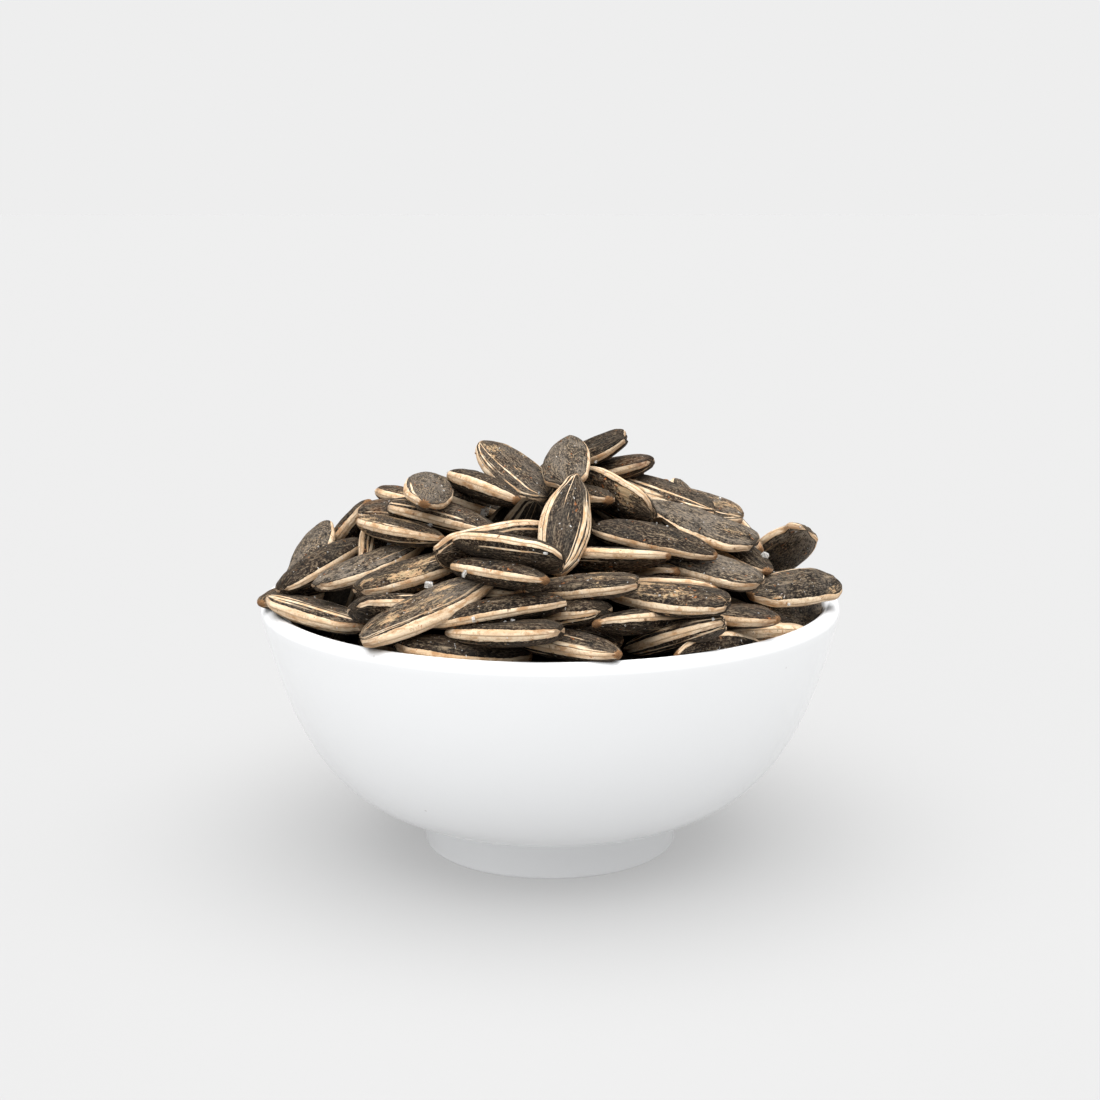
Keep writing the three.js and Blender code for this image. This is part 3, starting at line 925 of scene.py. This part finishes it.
def cream_edge(hull):
    """Cream streaked along its length, mottled with tan, dotted with brown, with a seam and scorched ends."""
    tree, colours = hull.tree, hull.colours
    long_streaks = hull.grain(7.0, 0.60, 3.0, 0.55)
    cream = hull.coat(linear(colours.cream), long_streaks, 0.38, 0.66, 0.75, colours.cream_deep)
    cream = hull.coat(cream, hull.grain(3.0, 0.9, 5.0, 0.75), 0.45, 0.66, 0.85, colours.tan)
    cream = hull.coat(cream, hull.flecks, 0.46, 0.34, 0.40, colours.tan)
    seam = node(tree, "Math", {0: hull.streaks, 1: 0.5, 2: hull.seam}, operation="MULTIPLY_ADD")
    seam = node(tree, "Math", {0: seam, 1: 0.25}, operation="SUBTRACT")
    seam = node(tree, "Math", {0: seam}, operation="ABSOLUTE")
    cream = hull.coat(cream, seam, 0.10, 0.03, 0.3, colours.tan)
    cream = hull.coat(cream, hull.grain(0.60, 0.42), 0.67, 0.74, 0.85, colours.scorched)
    ends = node(tree, "Math", {0: hull.along, 1: hull.tip}, operation="MINIMUM")
    ends = node(tree, "MapRange", {0: ends, 1: 3.8, 2: 0.5}, **SMOOTH)
    singed = node(tree, "Math", {0: hull.brown, 1: 0.8, 2: 0.30}, operation="MULTIPLY_ADD")
    singed = node(tree, "Math", {0: ends, 1: singed}, operation="MULTIPLY")
    patchy = node(tree, "MapRange", {0: hull.grain(1.8, 1.2, 3.0), 1: 0.36, 2: 0.58}, **SMOOTH)
    singed = node(tree, "Math", {0: singed, 1: patchy}, operation="MULTIPLY")
    return node(tree, "Mix", {0: singed, 6: cream, 7: linear(colours.scorched)}, **COLOURS)


def stem_scar(hull, under):
    """The scar at the tip, where the seed sat in its head."""
    tree, colours = hull.tree, hull.colours
    scar = node(tree, "Math", {0: hull.grain(0.8, 0.8), 1: 1.4, 2: hull.tip}, operation="MULTIPLY_ADD")
    scar = node(tree, "MapRange", {0: scar, 1: 1.30, 2: 0.95}, **SMOOTH)
    tone = hull.coat(linear(colours.scorched), hull.flecks, 0.42, 0.58, 1.0, colours.tan)
    return node(tree, "Mix", {0: scar, 6: under, 7: tone}, **COLOURS)


def roasted_hull(name, colours, share):
    """Sunflower hull, dry roasted: woody, fibrous along its length, charcoal faces between cream edges.

    Painted shade darkens the lower seeds to a share of the clean colour, for the shade in the gaps between
    the seeds above.
    """
    material, tree = bare_material(name)
    hull = Hull(tree, colours)
    # the cream edge is frayed where the skin ends
    fray = node(tree, "Math", {0: hull.grain(1.8, 1.1, 4.0, 0.7), 1: 0.5}, operation="SUBTRACT")
    inside = node(tree, "Math", {0: fray, 1: 0.55, 2: hull.band}, operation="MULTIPLY_ADD")
    edge = node(tree, "MapRange", {0: inside, 1: -0.05, 2: 0.06}, **SMOOTH)
    # straw shows where the skin is worn off
    straw_grain = hull.grain(1.5, 0.5)
    straw = hull.coat(linear(colours.cream_deep), straw_grain, 0.35, 0.65, 1.0, colours.straw)
    scuff = worn_off(hull)
    colour = node(tree, "Mix", {0: scuff, 6: dark_skin(hull), 7: straw}, **COLOURS)
    pale = hull.coat(linear(colours.cream), straw_grain, 0.35, 0.65, 1.0, colours.cream_deep)
    colour = node(tree, "Mix", {0: face_stripes(hull), 6: colour, 7: pale}, **COLOURS)
    colour = node(tree, "Mix", {0: edge, 6: colour, 7: cream_edge(hull)}, **COLOURS)
    # a thin dark line where the skin ends
    line = node(tree, "MapRange", {0: inside, 1: -0.26, 2: -0.06, 3: 0.0, 4: 0.75}, **SMOOTH)
    line_end = node(tree, "MapRange", {0: inside, 1: 0.06, 2: -0.03}, **SMOOTH)
    line = node(tree, "Math", {0: line, 1: line_end}, operation="MULTIPLY")
    colour = node(tree, "Mix", {0: line, 6: colour, 7: linear(colours.pit_and_shade)}, **COLOURS)
    colour = stem_scar(hull, colour)
    # salt dust, and rust-coloured crumbs of skin
    grains = hull.grain(0.50, 0.50, 1.0)
    dust = node(tree, "MapRange", {0: grains, 1: 0.735, 2: 0.785, 3: 0.0, 4: 0.6}, **SMOOTH)
    colour = node(tree, "Mix", {0: dust, 6: colour, 7: linear(colours.salt)}, **COLOURS)
    crumbs = hull.grain(0.80, 0.55, 1.0)
    rust = node(tree, "MapRange", {0: crumbs, 1: 0.69, 2: 0.75, 3: 0.0, 4: 0.75}, **SMOOTH)
    rusty = node(tree, "MapRange", {0: hull.grain(4.0, 3.0, 1.0), 1: 0.50, 2: 0.60}, **SMOOTH)
    rust = node(tree, "Math", {0: rust, 1: rusty}, operation="MULTIPLY")
    colour = node(tree, "Mix", {0: rust, 6: colour, 7: linear(colours.rust)}, **COLOURS)
    # painted shade: the lower seeds are darkened towards the near black pit colour, for the shade between the
    # seeds above them
    if share < 1:
        colour = node(tree, "Mix", {0: 1 - share, 6: colour, 7: linear(colours.pit_and_shade)}, **COLOURS)
    # each pattern also stands up or lies low in the skin
    relief = node(tree, "Math", {0: hull.flecks, 1: 0.8}, operation="MULTIPLY")
    heights = ((hull.fibres, 0.6), (hull.streaks, 1.4), (edge, 0.30), (scuff, -0.25), (dust, 0.6))
    for pattern, height in heights:
        relief = node(tree, "Math", {0: pattern, 1: height, 2: relief}, operation="MULTIPLY_ADD")
    bump = node(tree, "Bump", {"Height": relief, "Strength": 0.8, "Distance": 0.00030})
    rough = node(tree, "Math", {0: hull.flecks, 1: 0.30, 2: 0.45}, operation="MULTIPLY_ADD")
    surface = {"Base Color": colour, "Roughness": rough, "IOR": 1.45, "Normal": bump}
    # the dry, fibrous skin scatters most of the gloss that a smooth face of its index would have; on the
    # lower seeds painted shade takes most of the rest
    surface["Specular IOR Level"] = 0.10 * share
    node(tree, "OutputMaterial", {"Surface": node(tree, "BsdfPrincipled", surface)})
    return material


def broken_hull(name, colours, grain_mm, pale):
    """Broken hull and skin: matte, rough as bark, dark with paler patches."""
    material, tree = bare_material(name)
    place = node(tree, "TexCoord", {}, "Object")
    scale = 1 / (grain_mm * MM)
    patches = node(tree, "TexNoise", {"Vector": place, "Scale": scale, "Detail": 4.0, "Roughness": 0.65})
    shade = node(tree, "MapRange", {0: patches, 1: 0.40, 2: 0.66}, **SMOOTH)
    colour = node(tree, "Mix", {0: shade, 6: linear(colours.pit_and_shade), 7: linear(pale)}, **COLOURS)
    bump = node(tree, "Bump", {"Height": patches, "Strength": 0.8, "Distance": 0.0006})
    surface = {"Base Color": colour, "Roughness": 0.8, "IOR": 1.45, "Normal": bump}
    node(tree, "OutputMaterial", {"Surface": node(tree, "BsdfPrincipled", surface)})
    return material


def table_salt(colours):
    """Coarse table salt: clear crystals with frosted, broken faces."""
    material, tree = bare_material("coarse_table_salt")
    place = node(tree, "TexCoord", {}, "Object")
    frost = node(tree, "TexNoise", {"Vector": place, "Scale": 1 / 0.0004, "Detail": 3.0, "Roughness": 0.6})
    bump = node(tree, "Bump", {"Height": frost, "Strength": 0.5, "Distance": 0.0001})
    rough = node(tree, "MapRange", {0: frost, 1: 0.35, 2: 0.70, 3: 0.12, 4: 0.60})
    surface = {"Base Color": linear(colours.salt), "Roughness": rough, "IOR": 1.54, "Normal": bump}
    surface["Transmission Weight"] = 0.65
    node(tree, "OutputMaterial", {"Surface": node(tree, "BsdfPrincipled", surface)})
    return material


def matte_paper(colours, lighting):
    """Seamless studio paper over a dim light table: plain, pale and matte, faintly lit from below."""
    material, tree = bare_material("matte_studio_paper")
    surface = {"Base Color": linear(colours.paper), "Roughness": 1.0, "Specular IOR Level": 0.0}
    surface |= {"Emission Color": (1, 1, 1, 1), "Emission Strength": lighting.table}
    node(tree, "OutputMaterial", {"Surface": node(tree, "BsdfPrincipled", surface)})
    return material


def soft_studio(colours, lighting):
    """A pale backdrop round the horizon, dim walls above it, and softboxes overhead and round the table."""
    world = bpy.data.worlds.new("soft_studio")
    world.use_nodes = True
    tree = world.node_tree
    tree.nodes.clear()
    towards = node(tree, "TexCoord", {}, "Generated")
    height = node(tree, "SeparateXYZ", {0: towards}, "Z")
    total = node(tree, "MapRange", {0: height, 1: 0.10, 2: 0.15, 3: 1.0, 4: lighting.walls}, **SMOOTH)
    # the softboxes don't light the backdrop
    above = node(tree, "MapRange", {0: height, 1: 0.03, 2: 0.09}, **SMOOTH)
    # each softbox fades from its middle to its border, given as cosines of the angle from its middle
    for way, border, middle, strength in (
        ((0.0, -0.15, 1.0), 0.50, 0.88, lighting.overhead),
        ((-0.3, -1.0, 0.15), 0.80, 0.96, lighting.front),
        ((-0.9, -0.6, 0.3), 0.75, 0.97, lighting.left),
        ((1.0, 0.1, 0.3), 0.75, 0.97, lighting.right),
    ):
        pair = {0: towards, 1: Vector(way).normalized()}
        facing = node(tree, "VectorMath", pair, "Value", operation="DOT_PRODUCT")
        box = node(tree, "MapRange", {0: facing, 1: border, 2: middle, 3: 0.0, 4: strength}, **SMOOTH)
        total = node(tree, "Math", {0: box, 1: above, 2: total}, operation="MULTIPLY_ADD")
    light = node(tree, "Background", {"Color": linear(colours.backdrop), "Strength": total})
    node(tree, "OutputWorld", {"Surface": light})
    return world


# ---- Properties ----


LENGTH = {"unit": "LENGTH", "subtype": "DISTANCE"}


class BowlSizes(bpy.types.PropertyGroup):
    """Sizes of the bowl that its rim and height don't settle."""

    wall: bpy.props.FloatProperty(
        name="Wall", description="Thickness of the wall at the lip", default=2.8 * MM, **LENGTH
    )
    floor_height: bpy.props.FloatProperty(
        name="Floor", description="Height of the inside floor", default=10.5 * MM, **LENGTH
    )
    foot_radius: bpy.props.FloatProperty(
        name="Foot Radius", description="Outside of the foot ring", default=22.2 * MM, **LENGTH
    )
    foot_height: bpy.props.FloatProperty(
        name="Foot Height", description="Height of the foot", default=6.5 * MM, **LENGTH
    )
    foot_ring: bpy.props.FloatProperty(
        name="Foot Ring", description="Width of the standing ring", default=4.2 * MM, **LENGTH
    )
    foot_recess: bpy.props.FloatProperty(
        name="Foot Recess", description="Depth of the foot's hollow", default=3.2 * MM, **LENGTH
    )
    segments: bpy.props.IntProperty(name="Segments", description="Facets round the bowl", default=192, min=24)


class HeapSizes(bpy.types.PropertyGroup):
    """How the heap is filled."""

    surface_count: bpy.props.IntProperty(
        name="Surface Seeds", description="Places for seeds on the unseen part", default=150, min=0
    )
    lower_count: bpy.props.IntProperty(
        name="Lower Seeds", description="Seeds in the layer below the surface", default=105, min=0
    )
    rounds: bpy.props.IntProperty(name="Settling", description="Rounds of settling", default=360, min=1)
    scatter: bpy.props.IntProperty(name="Scatter", description="Seed of the random scatter", default=7)
    salt_count: bpy.props.IntProperty(name="Salt", description="Loose salt crystals", default=90, min=0)
    crumb_count: bpy.props.IntProperty(name="Crumbs", description="Flakes of broken hull", default=45, min=0)


class Finishes(bpy.types.PropertyGroup):
    """Colours of the finishes, as sRGB hex values."""

    glaze: bpy.props.StringProperty(name="Glaze", description="White of the porcelain", default="#EEEFF0")
    kiln_speck: bpy.props.StringProperty(name="Speck", description="Specks in the glaze", default="#8B8680")
    charcoal: bpy.props.StringProperty(name="Charcoal", description="Darkest skin", default="#0B0907")
    charcoal_warm: bpy.props.StringProperty(name="Warm", description="Lighter skin", default="#2F261E")
    toasted: bpy.props.StringProperty(name="Toasted", description="Brown skin", default="#573C27")
    # grey of the bloom on the skin, which is partly painted sheen
    ash: bpy.props.StringProperty(name="Ash", description="Grey bloom on the skin", default="#7B7166")
    fibre: bpy.props.StringProperty(name="Fibre", description="Pale fibres in the skin", default="#A08E76")
    # the near black of pits and cracks, and of the painted shade on the lower seeds
    pit_and_shade: bpy.props.StringProperty(name="Pit", description="Pits and cracks", default="#060504")
    cream: bpy.props.StringProperty(name="Cream", description="Edge band and stripes", default="#E2CDB0")
    cream_deep: bpy.props.StringProperty(name="Deep Cream", description="Darker cream", default="#C6A27B")
    straw: bpy.props.StringProperty(name="Straw", description="Fibres below the skin", default="#B09A78")
    tan: bpy.props.StringProperty(name="Tan", description="Toasted cream", default="#A97F56")
    scorched: bpy.props.StringProperty(name="Scorched", description="Ends of the seed", default="#70513A")
    rust: bpy.props.StringProperty(name="Rust", description="Rust-coloured crumbs", default="#A8683A")
    salt: bpy.props.StringProperty(name="Salt", description="Salt", default="#F4F2EE")
    paper: bpy.props.StringProperty(name="Paper", description="Studio paper", default="#828282")
    backdrop: bpy.props.StringProperty(name="Backdrop", description="Light all round", default="#EEEEEE")
    # painted shade: the share of their colour that the lower seeds keep
    lower_unshaded_share: bpy.props.FloatProperty(
        name="Lower Seeds", description="Share of colour the lower seeds keep under painted shade", default=0.07, min=0, max=1
    )


class Lighting(bpy.types.PropertyGroup):
    """Brightness of the walls and softboxes, as a share of the backdrop's."""

    walls: bpy.props.FloatProperty(name="Walls", description="Above the backdrop", default=0.10, min=0)
    overhead: bpy.props.FloatProperty(name="Overhead", description="Softbox overhead", default=4.8, min=0)
    front: bpy.props.FloatProperty(name="Front", description="White card in front", default=0.45, min=0)
    left: bpy.props.FloatProperty(name="Left", description="Softbox at the left", default=0.9, min=0)
    right: bpy.props.FloatProperty(name="Right", description="Softbox at the right", default=1.0, min=0)
    table: bpy.props.FloatProperty(name="Table", description="Light under the paper", default=0.34, min=0)


# ---- Operators ----


def heap_surface():
    """The surface of all seeds, for finding where a ray meets it."""
    points, faces, start = [], [], 0
    for piece in bpy.data.objects:
        if piece.name.startswith("seeds_"):
            points += [v.co.copy() for v in piece.data.vertices]
            faces += [[start + i for i in p.vertices] for p in piece.data.polygons]
            start = len(points)
    return BVHTree.FromPolygons(points, faces)


def drop_onto(surface, x, y):
    """Where something that falls at a place, in millimetres, lands, and the way up there."""
    above = Vector((x * MM, y * MM, SCATTER_HEIGHT_MM * MM))
    return surface.ray_cast(above, Vector((0, 0, -1)))[:2]


class SEEDBOWL_OT_bowl(bpy.types.Operator):
    """Turns the glazed bowl in place of its CAD node"""

    bl_idname = "seedbowl.bowl"
    bl_label = "Bowl"

    def execute(self, context):
        sizes = context.scene.seed_bowl
        profile = BowlShape(sizes).profile
        segments = sizes.segments
        angle = 2 * np.pi * np.arange(segments) / segments
        radius, height = profile[1:-1, 0][:, None], profile[1:-1, 1][:, None]
        rows = np.stack([radius * np.cos(angle), radius * np.sin(angle), height + 0 * angle], axis=-1)
        ends = [[(0, 0, profile[0, 1])], [(0, 0, profile[-1, 1])]]
        vertices = np.concatenate([ends[0], rows.reshape(-1, 3), ends[1]]) * MM
        faces, corners = closed_shell(len(profile) - 1, segments)
        run = np.concatenate([[0], np.cumsum(np.hypot(*np.diff(profile, axis=0).T))])
        uvs = [(segment / segments, run[row] / run[-1]) for face in corners for row, segment in face]
        piece = new_mesh_object("glazed_bowl", vertices, faces, uvs)
        stands_for(piece, "bowl", glazed_porcelain(context.scene.seed_finishes))
        return {"FINISHED"}


class SEEDBOWL_OT_seeds(bpy.types.Operator):
    """Packs the seeds and makes one mesh for each kind of them"""

    bl_idname = "seedbowl.seeds"
    bl_label = "Seeds"

    def execute(self, context):
        sizes, colours = context.scene.seed_heap, context.scene.seed_finishes
        seeds = heap_seeds(sizes)
        packing = Packing(BowlShape(context.scene.seed_bowl), seeds)
        worst = packing.settle(sizes.rounds)
        print(f"seeds {len(seeds)}, deepest overlap {worst:.2f} mm")
        kinds = {"seeds_dark": [], "seeds_striped": [], "seeds_scuffed": [], "seeds_lower": []}
        for seed, centre, turn in zip(seeds, packing.centre, packing.turn, strict=True):
            seed.centre, seed.turn = centre, turn
            if seed.deep:
                kinds["seeds_lower"].append(seed)
            elif seed.look.stripes > 0.35:
                kinds["seeds_striped"].append(seed)
            elif seed.look.scuffs > 0.22:
                kinds["seeds_scuffed"].append(seed)
            else:
                kinds["seeds_dark"].append(seed)
        hull = roasted_hull("dry_roasted_sunflower_hull", colours, 1.0)
        # the lower seeds get a hull darkened with painted shade
        shade_darkened_lower_hull = roasted_hull("dusty_roasted_sunflower_hull", colours, colours.lower_unshaded_share)
        for name, group in kinds.items():
            if name == "seeds_lower":
                stands_for(seeds_piece(name, group, *COARSE_MESH), "seed_heap", shade_darkened_lower_hull)
            else:
                stands_for(seeds_piece(name, group, *FINE_MESH), "seed_heap", hull)
        return {"FINISHED"}


class SEEDBOWL_OT_core(bpy.types.Operator):
    """Makes the rough dark core that fills the bowl below the loose seeds"""

    bl_idname = "seedbowl.core"
    bl_label = "Core"

    def execute(self, context):
        bowl = BowlShape(context.scene.seed_bowl)
        rows, segments, wall_rows, wall_gap = 40, 120, 14, 0.5
        angle = 2 * np.pi * np.arange(segments) / segments
        # the core's edge stays inside the wall where its lumps hang lowest
        edge_z = float(dome_height(CORE_EDGE_MM, 0.0)) - CORE_DEPTH_MM - 1.6
        reach = float(bowl.inside_radius(edge_z)) - wall_gap
        radius, turn = np.meshgrid(reach * np.linspace(0, 1, rows + 1)[1:], angle, indexing="ij")
        x, y = radius * np.cos(turn), radius * np.sin(turn)
        # lumps the size of a seed's end
        lumps = np.sin(x * 0.9 + 1.3 * np.sin(y * 0.35)) * np.sin(y * 0.8 + 1.1 * np.sin(x * 0.4))
        lumps += 0.5 * np.sin(x * 2.1 + y * 1.4)
        z = dome_height(x, y) - CORE_DEPTH_MM + 0.7 * lumps
        top = np.stack([x, y, z], axis=-1).reshape(-1, 3)
        wall_z = np.linspace(float(z[-1].min()) - 1.0, bowl.inside[1, 1] + 0.6, wall_rows)
        height, turn = np.meshgrid(wall_z, angle, indexing="ij")
        radius = bowl.inside_radius(height) - wall_gap
        wall = np.stack([radius * np.cos(turn), radius * np.sin(turn), height], axis=-1).reshape(-1, 3)
        ends = [[(0, 0, float(z[0].mean()))], [(0, 0, wall_z[-1])]]
        vertices = np.concatenate([ends[0], top, wall, ends[1]]) * MM
        faces, _ = closed_shell(rows + wall_rows + 1, segments)
        colours = context.scene.seed_finishes
        piece = new_mesh_object("heap_core", vertices, faces)
        fill = broken_hull("broken_hull_fill", colours, 1.6, colours.charcoal_warm)
        stands_for(piece, "seed_heap", fill)
        return {"FINISHED"}


class SEEDBOWL_OT_salt(bpy.types.Operator):
    """Scatters salt crystals on the upper faces of the seeds"""

    bl_idname = "seedbowl.salt"
    bl_label = "Salt"

    def execute(self, context):
        sizes = context.scene.seed_heap
        rng = np.random.default_rng(sizes.scatter + 1)
        surface = heap_surface()
        places = []
        for crystal in CRYSTALS:
            hit, normal, _, _ = surface.ray_cast(Vector(CAMERA_MM * MM), Vector(ray_through(crystal.pixel)))
            if hit is not None:
                places.append((hit, normal, crystal.size_mm))
        while len(places) < len(CRYSTALS) + sizes.salt_count:
            x, y = rng.uniform(-SALT_REACH_MM - 1, SALT_REACH_MM + 1, 2)
            if math.hypot(x, y) > SALT_REACH_MM:
                continue
            hit, normal = drop_onto(surface, x, y)
            if hit is not None and normal.z > 0.45:
                places.append((hit, normal, 0.20 + 0.45 * rng.random() ** 3))
        # a cube whose faces are raised to low points, so that no face is flat
        corners = np.array([(i, j, k) for i in (-1, 1) for j in (-1, 1) for k in (-1, 1)], float)
        peaks = [(0, 0, 1.25), (0, 0, -1.2), (1.2, 0, 0), (-1.2, 0, 0), (0, 1.2, 0), (0, -1.2, 0)]
        solid = np.concatenate([corners, peaks])
        sides = ((0, 1, 3, 2), (4, 6, 7, 5), (0, 4, 5, 1), (2, 3, 7, 6), (0, 2, 6, 4), (1, 5, 7, 3))
        raised = zip(sides, (11, 10, 13, 12, 9, 8), strict=True)
        triangles = [(side[i], side[(i + 1) % 4], peak) for side, peak in raised for i in range(4)]
        vertices, faces = [], []
        for hit, normal, size in places:
            stretch = np.array([1.0, 0.8, 0.62]) * (1 + 0.18 * rng.normal(size=3))
            shape = solid * stretch * 0.8 * (1 + 0.14 * rng.normal(size=solid.shape)) * size / 2
            tumble = Matrix.Rotation(rng.uniform(0, 6.28), 3, Vector(rng.normal(size=3)).normalized())
            start = len(vertices) * len(solid)
            centre = (np.array(hit) + np.array(normal) * size * 0.30 * MM) / MM
            vertices.append(shape @ np.array(tumble).T + centre)
            faces += [tuple(start + i for i in face) for face in triangles]
        piece = new_mesh_object("salt_crystals", np.concatenate(vertices) * MM, faces, smooth=False)
        stands_for(piece, "seed_heap", table_salt(context.scene.seed_finishes))
        return {"FINISHED"}


class SEEDBOWL_OT_crumbs(bpy.types.Operator):
    """Scatters flakes and fibres of broken hull between the seeds"""

    bl_idname = "seedbowl.crumbs"
    bl_label = "Crumbs"

    def execute(self, context):
        sizes = context.scene.seed_heap
        rng = np.random.default_rng(sizes.scatter + 2)
        surface = heap_surface()
        ring_count, ring_corners = 6, ((-1, 0), (0, 1), (1, 0), (0, -1))
        vertices, faces = [], []
        start = 0
        for _ in range(sizes.crumb_count):
            x, y = rng.uniform(-CRUMB_REACH_MM, CRUMB_REACH_MM, 2)
            hit, normal = drop_onto(surface, x, y)
            if hit is None or math.hypot(x, y) > CRUMB_REACH_MM:
                continue
            # a curled splinter with pointed ends, a fifth to a third as wide as it is long
            length = 0.5 + 1.2 * rng.random() ** 2
            width = length * rng.uniform(0.16, 0.34)
            thick = 0.10 + 0.10 * rng.random()
            t = np.linspace(-1, 1, ring_count)
            breadth = width / 2 * np.sqrt(np.clip(1.05 - t**2, 0, 1))
            curl = rng.uniform(-0.3, 0.3) * length * t**2
            points = []
            for ti, bi, ci in zip(t, breadth, curl, strict=True):
                for dy, dz in ring_corners:
                    ragged = 0.05 * rng.normal() * width
                    points.append((ti * length / 2, dy * bi + ragged, ci * 0.5 + dz * thick / 2))
            up = Vector(normal)
            ahead = Vector((rng.normal(), rng.normal(), 0)).normalized()
            side = up.cross(ahead).normalized()
            turn = np.array([side.cross(up), side, up]).T
            place = np.array(hit) / MM + np.array(up) * (thick * 0.5 + 0.04)
            vertices.append(np.array(points) @ turn.T + place)
            for i in range(ring_count - 1):
                for j in range(4):
                    a, b = start + i * 4 + j, start + i * 4 + (j + 1) % 4
                    faces.append((a, a + 4, b + 4, b))
            last = start + len(points) - 1
            faces.append((start, start + 1, start + 2, start + 3))
            faces.append((last, last - 1, last - 2, last - 3))
            start += len(points)
        piece = new_mesh_object("hull_crumbs", np.concatenate(vertices) * MM, faces)
        colours = context.scene.seed_finishes
        stands_for(piece, "seed_heap", broken_hull("flaked_hull", colours, 0.5, colours.tan))
        return {"FINISHED"}


class SEEDBOWL_OT_stage(bpy.types.Operator):
    """Sets the paper floor, the soft lights and the camera"""

    bl_idname = "seedbowl.stage"
    bl_label = "Stage"

    def execute(self, context):
        scene, colours, lighting = context.scene, context.scene.seed_finishes, context.scene.seed_lighting
        reach = 6.0
        paper = new_mesh_object(
            "paper_floor",
            np.array([(-reach, -reach, 0), (reach, -reach, 0), (reach, reach, 0), (-reach, reach, 0)], float),
            [(0, 1, 2, 3)],
            smooth=False,
        )
        paper.data.materials.append(matte_paper(colours, lighting))
        scene.world = soft_studio(colours, lighting)
        camera = bpy.data.cameras.new("photo_camera")
        camera.lens = LENS_MM
        camera.sensor_width = SENSOR_MM
        camera.clip_start, camera.clip_end = 0.01, 30
        holder = bpy.data.objects.new("photo_camera", camera)
        holder.location = Vector(CAMERA_MM * MM)
        holder.rotation_euler = (math.pi / 2 - CAMERA_PITCH, 0, 0)
        scene.collection.objects.link(holder)
        scene.camera = holder
        scene.view_settings.view_transform = "Standard"
        return {"FINISHED"}


class SEEDBOWL_PT_sidebar(bpy.types.Panel):
    """The bowl's pieces and sizes, in the 3D view's sidebar"""

    bl_label = "Seed Bowl"
    bl_idname = "SEEDBOWL_PT_sidebar"
    bl_space_type = "VIEW_3D"
    bl_region_type = "UI"
    bl_category = "Seed Bowl"

    def draw(self, context):
        for operator in OPERATORS:
            self.layout.operator(operator.bl_idname)
        for name in PROPERTIES:
            box = self.layout.box()
            group = getattr(context.scene, name)
            for key in group.__annotations__:
                box.prop(group, key)


PROPERTIES = {
    "seed_bowl": BowlSizes,
    "seed_heap": HeapSizes,
    "seed_finishes": Finishes,
    "seed_lighting": Lighting,
}
OPERATORS = (
    SEEDBOWL_OT_bowl,
    SEEDBOWL_OT_core,
    SEEDBOWL_OT_seeds,
    SEEDBOWL_OT_salt,
    SEEDBOWL_OT_crumbs,
    SEEDBOWL_OT_stage,
)


def register():
    for group in PROPERTIES.values():
        bpy.utils.register_class(group)
    for name, group in PROPERTIES.items():
        setattr(bpy.types.Scene, name, bpy.props.PointerProperty(type=group))
    for operator in OPERATORS:
        bpy.utils.register_class(operator)
    bpy.utils.register_class(SEEDBOWL_PT_sidebar)


def unregister():
    bpy.utils.unregister_class(SEEDBOWL_PT_sidebar)
    for operator in reversed(OPERATORS):
        bpy.utils.unregister_class(operator)
    for name in PROPERTIES:
        delattr(bpy.types.Scene, name)
    for group in reversed(PROPERTIES.values()):
        bpy.utils.unregister_class(group)


def main():
    register()
    bpy.ops.seedbowl.bowl()
    bpy.ops.seedbowl.core()
    bpy.ops.seedbowl.seeds()
    bpy.ops.seedbowl.salt()
    bpy.ops.seedbowl.crumbs()
    bpy.ops.seedbowl.stage()


if __name__ == "__main__":
    main()
